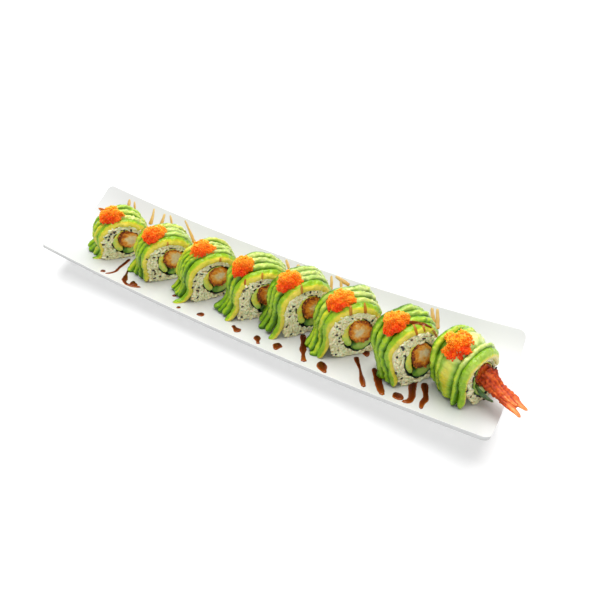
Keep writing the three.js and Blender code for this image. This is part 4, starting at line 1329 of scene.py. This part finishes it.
class PLATTER_OT_avocado_slices(bpy.types.Operator):
    """Fans the avocado slices over the pieces"""

    bl_idname = "platter.avocado_slices"
    bl_label = "Fan avocado slices"

    def execute(self, context):
        material = self.slice_material(context.scene.platter_colours)
        for roll in rolls():
            self.fan(roll, material)
        return {"FINISHED"}

    def slice_material(self, colours):
        """Green outside and yellow inside by one layer, which also carries painted shade in the valleys and a
        painted highlight on the crests, and lighter by a second layer, which is partly pale flesh and partly
        a painted highlight on the far tops.
        """
        material, tree, shader = principled(
            "avocado_slices", Roughness=0.3, Subsurface_Weight=0.08, Subsurface_Scale=0.002,
            Specular_IOR_Level=0.14, Coat_Weight=0.34, Coat_Roughness=0.05,
        )
        where = node(tree, "TexCoord", {}).outputs["Object"]
        wander = node(tree, "TexNoise", {"Vector": where, "Scale": 90.0, "Detail": 3.0}).outputs["Fac"]
        shift = node(tree, "MapRange", {
            "Value": wander, "From Min": 0.3, "From Max": 0.7, "To Min": -0.06, "To Max": 0.06,
        }).outputs["Result"]
        total = node(tree, "Math", {0: attribute(tree, "rim"), 1: shift}, operation="ADD").outputs[0]
        # Towards the top of this ramp the greens darken into painted shade for the valleys; the light greens
        # near its middle serve the crests as a painted highlight.
        colour = ramp(tree, total, [
            (0.0, (0.90, 0.82, 0.40)), (0.16, (0.86, 0.70, 0.12)), (0.34, tuple(colours.avocado_yellow)),
            (0.48, (0.62, 0.66, 0.03)), (0.60, (0.45, 0.64, 0.03)), (0.74, tuple(colours.avocado_green)),
            (0.88, (0.11, 0.27, 0.004)), (1.0, (0.04, 0.13, 0.002)),
        ])
        # Mixed towards a light yellow-green: partly pale flesh, partly a painted highlight.
        paler_and_highlighted = mix(tree, attribute(tree, "pale"), colour, (0.78, 0.84, 0.34, 1.0))
        mottled(
            tree, shader, paler_and_highlighted, (0.20, 0.40, 0.006), scale=240.0, amount=0.35, fine=900.0, bump=0.6,
            distance=0.0007,
        )
        return material

    def fan(self, roll, material):
        """The slices over one piece, from its front cut to its back cut."""
        piece = roll.piece
        bm = bmesh.new()
        layers = [bm.verts.layers.float.new(name) for name in ("rim", "pale")]
        draw = random.Random(SLICE_DRAWS + roll.index)
        widths = piece.get("widths", [1.0] * piece["slices"])
        depth = 0.0
        for i, width in enumerate(widths):
            pitch = roll.depth * width / sum(widths)
            centre = -(depth + pitch / 2)
            depth += pitch
            share = -centre / roll.depth
            near = between(piece["toe"], share) + draw.uniform(-1.5, 1.5) * (i > 0)
            forward = between(piece["forward"], share)
            shade = piece["shades"][i] + draw.uniform(-0.05, 0.05)
            self.strip(bm, layers, roll, draw, near, forward, centre, pitch, shade, i)
        finish_part(bm, roll, "avocado_slices", material, "avocado_blanket")

    def strip(self, bm, layers, roll, draw, near, forward, centre, pitch, shade, i):
        """One slice of avocado bent over the roll. The front slice shows its flat yellow face."""
        steps, around = 136, 22
        piece = roll.piece
        sweep = 0.1 if i == 0 else draw.uniform(-0.5, 0.7)
        path = slice_path(roll, near, forward, centre, piece["curl"][i], sweep, steps)
        length = sum((b - a).length for a, b in zip(path, path[1:]))
        front = roll.axes @ Vector((0, 0, 1))
        facing = i == 0
        half_deep = piece["face"] if facing else pitch * 0.62
        half_thick = 2.3 if facing else draw.uniform(2.8, 3.4)
        lean = math.radians(-42 if facing else draw.uniform(-30, -8))
        squareness = 0.85 if facing else 1.0
        overhang = piece.get("overhang", 0.0)
        ahead, up = (piece["face"] - 3.3 + overhang, -1.7) if facing else (0.0, draw.uniform(-0.9, 0.0))
        if i == 1:
            half_deep += 0.4 * overhang
            ahead = 0.6 * overhang
        up -= piece.get("settle", 0.0)
        drift = 0.8 if facing else 3.0
        least = 0.6 if half_deep > 5 else 0.15
        pointed = 5.0 if facing else draw.uniform(3.0, 6.0)
        pale_and_highlight_from = piece.get("pale_and_highlight_from", 0.40)
        seed = 13.0 * roll.index + 3.1 * i
        sway_at = Vector((0.0, 13.0 * roll.index + 0.28 * i, 2.0))

        def point_at(k, j):
            here = path[j]
            tangent = (path[min(j + 1, steps - 1)] - path[max(j - 1, 0)]).normalized()
            deep = (front - tangent * front.dot(tangent)).normalized()
            out = deep.cross(tangent)
            travelled = length * j / (steps - 1)
            share = travelled / length
            tip = min(travelled, length - travelled)
            taper = math.sqrt(max(1 - (1 - min(tip / pointed, 1.0)) ** 2, 0.0))
            angle = 2 * math.pi * k / around
            c, s = power(math.cos(angle), squareness), power(math.sin(angle), squareness)
            sway = noise.noise(Vector((travelled * 0.055, 0, 0)) + sway_at)
            lift = noise.noise(Vector((travelled * 0.07, seed, 8.0)))
            wave = noise.noise(Vector((travelled * 0.11, seed, 0.0)))
            ripple = noise.noise(Vector((travelled * 0.35, seed, 5.0)))
            climbed = clamp((share - 0.14) / 0.26)

            # The outline of the slice, leaned over, and its bumps and wrinkles.
            slim = 1 - 0.30 * (1 - climbed) if facing else 1.0
            a = half_deep * slim * taper * (1 + 0.12 * wave + 0.08 * ripple)
            b = half_thick * (0.4 + 0.6 * taper) * (1 + 0.16 * wave) if tip > 0 else 0.0
            x, y = a * c * (1 - (0.0 if facing else 0.30 * max(s, 0.0))), b * s
            x, y = x * math.cos(lean) - y * math.sin(lean), x * math.sin(lean) + y * math.cos(lean)
            rise = (0.4 if facing else 1.5) * lift
            place = here + deep * (x + ahead + drift * sway) + out * (y + up + rise + 0.25 * ripple)
            dent = noise.noise(place * 0.26 + Vector((0, 0, seed))) + 0.8 * noise.noise(place * 0.55)
            # How far the slice is onto its far top, where its wrinkles and its painted highlight start.
            over = clamp((share - pale_and_highlight_from + 0.12 * wave) / 0.12)
            wrinkle = 0.6 * over * noise.noise(place * 0.85)
            place += out * ((0.9 * dent + wrinkle) * taper * max(s, 0.0))
            place.z = max(place.z, plate_height(place.x, place.y) + 0.2)

            # How green it is: yellow on the flat face with a green edge, darker in the valleys, at the toes
            # and where a slice sinks, which is painted shade, and lighter on the crest, which is a painted
            # highlight.
            crest = clamp((s - 0.60) / 0.37)
            if facing and s > -0.6:
                border = piece["border"] + 0.12 * wave + 0.30 * (1 - climbed)
                across = clamp((border + 0.12 - c) / 0.24)
                value = 0.24 + 0.44 * across + 0.06 * ripple + 0.2 * max(-c - 0.5, 0.0)
                if "heap" in piece:
                    value -= 0.16 * (1 - across)
            else:
                # The valleys, the toes and a sinking slice are darkened as painted shade, and the crest is
                # lightened as a painted highlight.
                value = 0.95 + 0.10 * max(1 - travelled / 13, 0.0) - 0.36 * crest
                value += 0.10 * max(c, 0.0) * (1 - crest) + shade - 0.10 * wave - 0.10 * lift
            # Lighter on the far crests: partly pale flesh, partly a painted highlight where the light falls
            # on the tops.
            pale = piece["pales_and_highlights"][i] * over * (least + (1 - least) * crest)
            pale *= 0.75 + 0.5 * ripple + 0.8 * wrinkle
            return place, clamp(value), clamp(pale)

        skin(bm, around, steps, point_at, layers=layers)


# Sauce that dripped over the pieces: the piece, its thinness, then across, up and width at each point of a
# plane in front of the piece.
DRIPS = [
    (0, 0.55, [(-1.6, 39.0, 0.9), (-2.4, 35.5, 1.5), (-3.0, 32.0, 0.8)]),
    (1, 0.78, [(3.0, 45.0, 0.9), (2.5, 40.0, 1.7), (1.8, 35.5, 1.1)]),
    (2, 0.76, [(8.4, 44.0, 0.9), (8.0, 41.0, 1.6), (7.3, 37.5, 0.9)]),
    (2, 0.66, [(-8.0, 37.5, 0.8), (-5.5, 37.2, 1.4), (-3.0, 37.0, 0.8)]),
    (3, 0.66, [(-11.0, 48.5, 0.9), (-11.8, 44.5, 1.5), (-12.1, 41.5, 0.8)]),
    (3, 0.78, [(2.5, 49.9, 1.0), (2.0, 45.0, 1.4), (1.4, 41.0, 0.8)]),
    (4, 0.76, [(-1.8, 54.0, 1.0), (-2.4, 47.0, 1.6), (-3.1, 38.0, 1.4)]),
    (5, 0.75, [(-1.2, 55.0, 1.1), (-1.7, 47.0, 1.9), (-2.1, 38.5, 1.2)]),
    (5, 0.70, [(9.0, 53.0, 1.0), (8.8, 45.0, 1.9), (8.5, 36.0, 1.0)]),
    (5, 0.74, [(16.8, 34.5, 1.2), (17.2, 31.0, 1.2)]),
    (5, 0.66, [(-17.2, 67.0, 1.0), (-17.0, 60.0, 1.8), (-16.5, 52.0, 1.1)]),
    (6, 0.45, [(-5.8, 65.3, 1.4), (-1.5, 61.8, 2.0), (3.0, 58.2, 2.2), (8.4, 53.2, 1.8), (13.2, 46.8, 1.0)]),
    (6, 0.72, [(0.6, 58.5, 1.0), (0.8, 53.0, 1.6), (1.0, 46.5, 1.2)]),
    (6, 0.72, [(6.5, 55.0, 1.0), (6.8, 51.0, 1.4), (7.0, 46.5, 0.9)]),
    (6, 0.72, [(13.2, 45.0, 0.9), (15.5, 40.0, 1.5), (17.0, 34.0, 0.9)]),
]
# The direction in a piece's frame in which those points are cast on to the slices: down and backwards.
DRIP_VIEW = Vector((0.12, -0.75, -0.65))


class PLATTER_OT_drips(bpy.types.Operator):
    """Drips sauce over the slices"""

    bl_idname = "platter.drips"
    bl_label = "Drip sauce"

    def execute(self, context):
        depsgraph = context.evaluated_depsgraph_get()
        bm = bmesh.new()
        layer = bm.verts.layers.float.new("thin")
        for roll in rolls():
            slices = BVHTree.FromObject(bpy.data.objects[f"{roll.label}_avocado_slices"], depsgraph)
            view = roll.axes @ DRIP_VIEW

            def on_slices(across, up):
                """The place that the view meets the slices at, from a point of the front plane."""
                place = roll.world((across, up, 2.0))
                hit, normal, _, _ = slices.ray_cast((place - view * 80) * MM, view)
                if hit is None:
                    hit, normal, _, _ = slices.find_nearest(place * MM)
                return hit / MM, normal

            for _, thinness, points in (drip for drip in DRIPS if drip[0] == roll.index):
                sauce_run(bm, layer, points, on_slices, 0.3, (thinness, thinness - 0.08))
        close(bm)
        finish(bm, "roll_sauce", sauce_material(context.scene.platter_colours))
        return {"FINISHED"}


# ---------------------------------------------------------------- roe


class PLATTER_OT_roe(bpy.types.Operator):
    """Spoons a heap of roe on each piece"""

    bl_idname = "platter.roe"
    bl_label = "Spoon roe"

    def execute(self, context):
        scene = context.scene
        # Yellow at the low end for the lit top of a heap, deep red at the high end for its shaded front and
        # underside: painted light and shade.
        stops = [(0.0, (1.0, 0.46, 0.03)), (0.32, (1.0, 0.27, 0.012)),
                 (0.62, tuple(scene.platter_colours.roe)), (1.0, (0.86, 0.03, 0.004))]
        # The roe glows faintly red, though it is no lamp: painted light that lifts the shade between the
        # eggs.
        material = new_finish(
            "roe", stops, (1.0, 0.24, 0.006), scale=500.0, amount=0.25, fine=2000.0, bump=0.05, layer="tone",
            Roughness=0.32, Subsurface_Weight=0.55, Subsurface_Scale=0.003, Specular_IOR_Level=0.18,
            Emission_Color=(1.0, 0.09, 0.003, 1.0), Emission_Strength=0.07,
        )
        eggs = Scatter(7, 5)
        radius = scene.platter_sizes.egg_diameter / MM / 2
        for roll in rolls():
            self.core(roll, material)
            draw = random.Random(EGG_DRAWS + roll.index)
            self.lay(eggs, roll, scene.platter_counts.eggs, radius, draw)
        eggs.finish("roe_eggs", material, "roe", "tone")
        return {"FINISHED"}

    def reach(self, roll, direction):
        """How far the uneven surface of a heap is from its middle, as a vector in the piece's frame."""
        coarse, shift, rough = roll.piece.get("lumps", (1.9, 0.0, 1.0))
        lump = noise.noise(direction * coarse + Vector((9.0 * roll.index, shift, 0)))
        fine = noise.noise(direction * 4.4 + Vector((9.0 * roll.index, 5.0, 0)))
        swell = min(1.03 - 0.06 * rough + rough * (0.38 * lump + 0.22 * fine), 1.05 + 0.08 * rough)
        radius, rise = roll.piece.get("heap", (ROE_RADIUS, ROE_RISE))
        front = radius * (roll.piece.get("roe_front", ROE_FRONT) if direction.z > 0 else 1.0)
        return direction * Vector((radius, rise + ROE_SUNK, front)) * swell

    def middle(self, roll):
        across, back = roll.piece["roe"]
        return Vector((across, roll.piece["height"] - ROE_SUNK, -back))

    def tone(self, direction, draw):
        """How red a heap is: yellower high up and at the back, where the light falls, and redder low down and
        towards the front, away from it, which is painted light and shade; patches and draws vary it at
        random.
        """
        low = 0.62 * direction.z - 0.55 * direction.y - 0.25 * direction.x
        patch = noise.noise(direction * 2.1 + Vector((0, 0, 4.0)))
        return clamp(0.55 + 0.85 * low + 0.35 * patch + draw.uniform(-0.12, 0.12))

    def above_slices(self, roll, place, sink):
        """Whether a place is over the outline of the slices, let down by sink."""
        if place.y < roll.middle:
            return False
        wide = roll.half_width + SLICE_DEPTH + GAP - sink
        rise = roll.top - roll.middle + SLICE_DEPTH + GAP - sink
        exponent = 2 / ROUNDNESS
        return (abs(place.x) / wide) ** exponent + ((place.y - roll.middle) / rise) ** exponent > 1

    def core(self, roll, material):
        """The heap under the loose eggs."""
        bm = bmesh.new()
        tone = bm.verts.layers.float.new("tone")
        draw = random.Random(HEAP_DRAWS + roll.index)
        for vertex in bmesh.ops.create_icosphere(bm, subdivisions=4, radius=1.0)["verts"]:
            direction = vertex.co.normalized()
            vertex[tone] = self.tone(direction, draw)
            vertex.co = roll.world(self.middle(roll) + self.reach(roll, direction) * 0.96)
        finish_part(bm, roll, "roe_heap", material, "roe")

    def lay(self, eggs, roll, count, radius, draw):
        """Eggs over the heap, spread evenly and then jostled. Those inside the slices are left out."""
        whole = int(count * EGG_PLACES)
        golden = math.pi * (3 - math.sqrt(5))
        placed = 0
        for i in range(whole):
            y = 1 - 2 * (i + 0.5) / whole
            ring = math.sqrt(1 - y * y)
            direction = Vector((ring * math.cos(golden * i), y, ring * math.sin(golden * i)))
            place = self.middle(roll) + self.reach(roll, direction) + direction * draw.uniform(-0.35, 0.3)
            place += Vector((draw.gauss(0, 0.2), draw.gauss(0, 0.2), draw.gauss(0, 0.2)))
            size = radius * draw.uniform(0.85, 1.15)
            value = self.tone(direction, draw)
            if placed < count and self.above_slices(roll, place, 1.0):
                placed += 1
                eggs.add(roll.world(place), (size, size, size), random_turn(draw), value)


# ---------------------------------------------------------------- stage

# The camera: where it stands in millimetres, its yaw, pitch and roll in degrees, and its focal length and the
# width of the picture in the same units.
CAMERA_PLACE = Vector((184.8, -217.0, 331.6))
CAMERA_TURNS = (-33.46, 48.85, -5.08)
FOCAL_LENGTH = 515.7
PICTURE_WIDTH = 600.0
SENSOR_WIDTH = 36.0
# The area lights: name, place and size in metres, and power in watts. Both look at LIGHT_TARGET.
LIGHTS = (
    ("softbox", Vector((-0.12, 0.44, 1.15)), 1.3, 26.5),
    ("fill", Vector((0.55, -0.95, 0.7)), 0.8, 3.0),
)
LIGHT_TARGET = Vector((0.03, 0.0, 0.03))


class PLATTER_OT_stage(bpy.types.Operator):
    """Sets the pale floor, the soft lights and the camera"""

    bl_idname = "platter.stage"
    bl_label = "Set stage"

    def execute(self, context):
        scene = context.scene
        scene.view_settings.view_transform = "Standard"
        self.floor(scene)
        self.lights(scene)
        self.camera(scene)
        return {"FINISHED"}

    def floor(self, scene):
        """A wide pale floor that glows a little, so that it looks nearly white."""
        bm = bmesh.new()
        bmesh.ops.create_grid(bm, x_segments=8, y_segments=8, size=3.0)
        mesh = bpy.data.meshes.new("floor")
        bm.to_mesh(mesh)
        bm.free()
        mesh.materials.append(new_finish(
            "floor", (0.72, 0.72, 0.72), (0.71, 0.71, 0.712), scale=3.0, amount=0.4, fine=40.0, bump=0.0,
            Roughness=0.6, Emission_Color=(1.0, 1.0, 1.0, 1.0), Emission_Strength=0.34,
        ))
        floor = bpy.data.objects.new("floor", mesh)
        scene.collection.objects.link(floor)

    def lights(self, scene):
        world = bpy.data.worlds.new("studio")
        world.use_nodes = True
        background = world.node_tree.nodes["Background"]
        background.inputs["Color"].default_value = (1.0, 1.0, 1.0, 1.0)
        background.inputs["Strength"].default_value = 0.31
        scene.world = world
        for name, place, size, power_watts in LIGHTS:
            light = bpy.data.lights.new(name, "AREA")
            light.shape = "SQUARE"
            light.size = size
            light.energy = power_watts
            lamp = bpy.data.objects.new(name, light)
            turned = (LIGHT_TARGET - place).normalized().to_track_quat("-Z", "Y")
            lamp.matrix_world = Matrix.Translation(place) @ turned.to_matrix().to_4x4()
            scene.collection.objects.link(lamp)

    def camera(self, scene):
        yaw, pitch, roll = (math.radians(turn) for turn in CAMERA_TURNS)
        ahead = Vector((math.sin(yaw) * math.cos(pitch), math.cos(yaw) * math.cos(pitch), -math.sin(pitch)))
        level = Vector((math.cos(yaw), -math.sin(yaw), 0))
        over = level.cross(ahead)
        right = level * math.cos(roll) + over * math.sin(roll)
        above = over * math.cos(roll) - level * math.sin(roll)
        lens = bpy.data.cameras.new("camera")
        lens.sensor_width = SENSOR_WIDTH
        lens.lens = SENSOR_WIDTH * FOCAL_LENGTH / PICTURE_WIDTH
        lens.clip_start = 0.01
        camera = bpy.data.objects.new("camera", lens)
        matrix = Matrix((right, above, -ahead)).transposed().to_4x4()
        matrix.translation = CAMERA_PLACE * MM
        camera.matrix_world = matrix
        scene.collection.objects.link(camera)
        scene.camera = camera


# ---------------------------------------------------------------- panel and running

MAKERS = (
    PLATTER_OT_plate,
    PLATTER_OT_sauce,
    PLATTER_OT_rice,
    PLATTER_OT_seaweed,
    PLATTER_OT_prawns,
    PLATTER_OT_avocado_filling,
    PLATTER_OT_cucumber,
    PLATTER_OT_avocado_slices,
    PLATTER_OT_drips,
    PLATTER_OT_roe,
    PLATTER_OT_stage,
)


class PLATTER_PT_panel(bpy.types.Panel):
    """The platter's settings and the steps that make it"""

    bl_idname = "PLATTER_PT_panel"
    bl_label = "Prawn Roll Platter"
    bl_space_type = "VIEW_3D"
    bl_region_type = "UI"
    bl_category = "Platter"

    def draw(self, context):
        layout = self.layout
        scene = context.scene
        for settings in (scene.platter_sizes, scene.platter_counts, scene.platter_colours):
            for name in settings.bl_rna.properties.keys():
                if name not in ("rna_type", "name"):
                    layout.prop(settings, name)
        for maker in MAKERS:
            layout.operator(maker.bl_idname)


CLASSES = (PlatterSizes, PlatterCounts, PlatterColours, *MAKERS, PLATTER_PT_panel)


def register():
    for cls in CLASSES:
        bpy.utils.register_class(cls)
    bpy.types.Scene.platter_sizes = bpy.props.PointerProperty(type=PlatterSizes)
    bpy.types.Scene.platter_counts = bpy.props.PointerProperty(type=PlatterCounts)
    bpy.types.Scene.platter_colours = bpy.props.PointerProperty(type=PlatterColours)


def unregister():
    del bpy.types.Scene.platter_colours
    del bpy.types.Scene.platter_counts
    del bpy.types.Scene.platter_sizes
    for cls in reversed(CLASSES):
        bpy.utils.unregister_class(cls)


def main():
    register()
    for maker in MAKERS:
        group, name = maker.bl_idname.split(".")
        getattr(getattr(bpy.ops, group), name)()


if __name__ == "__main__":
    main()
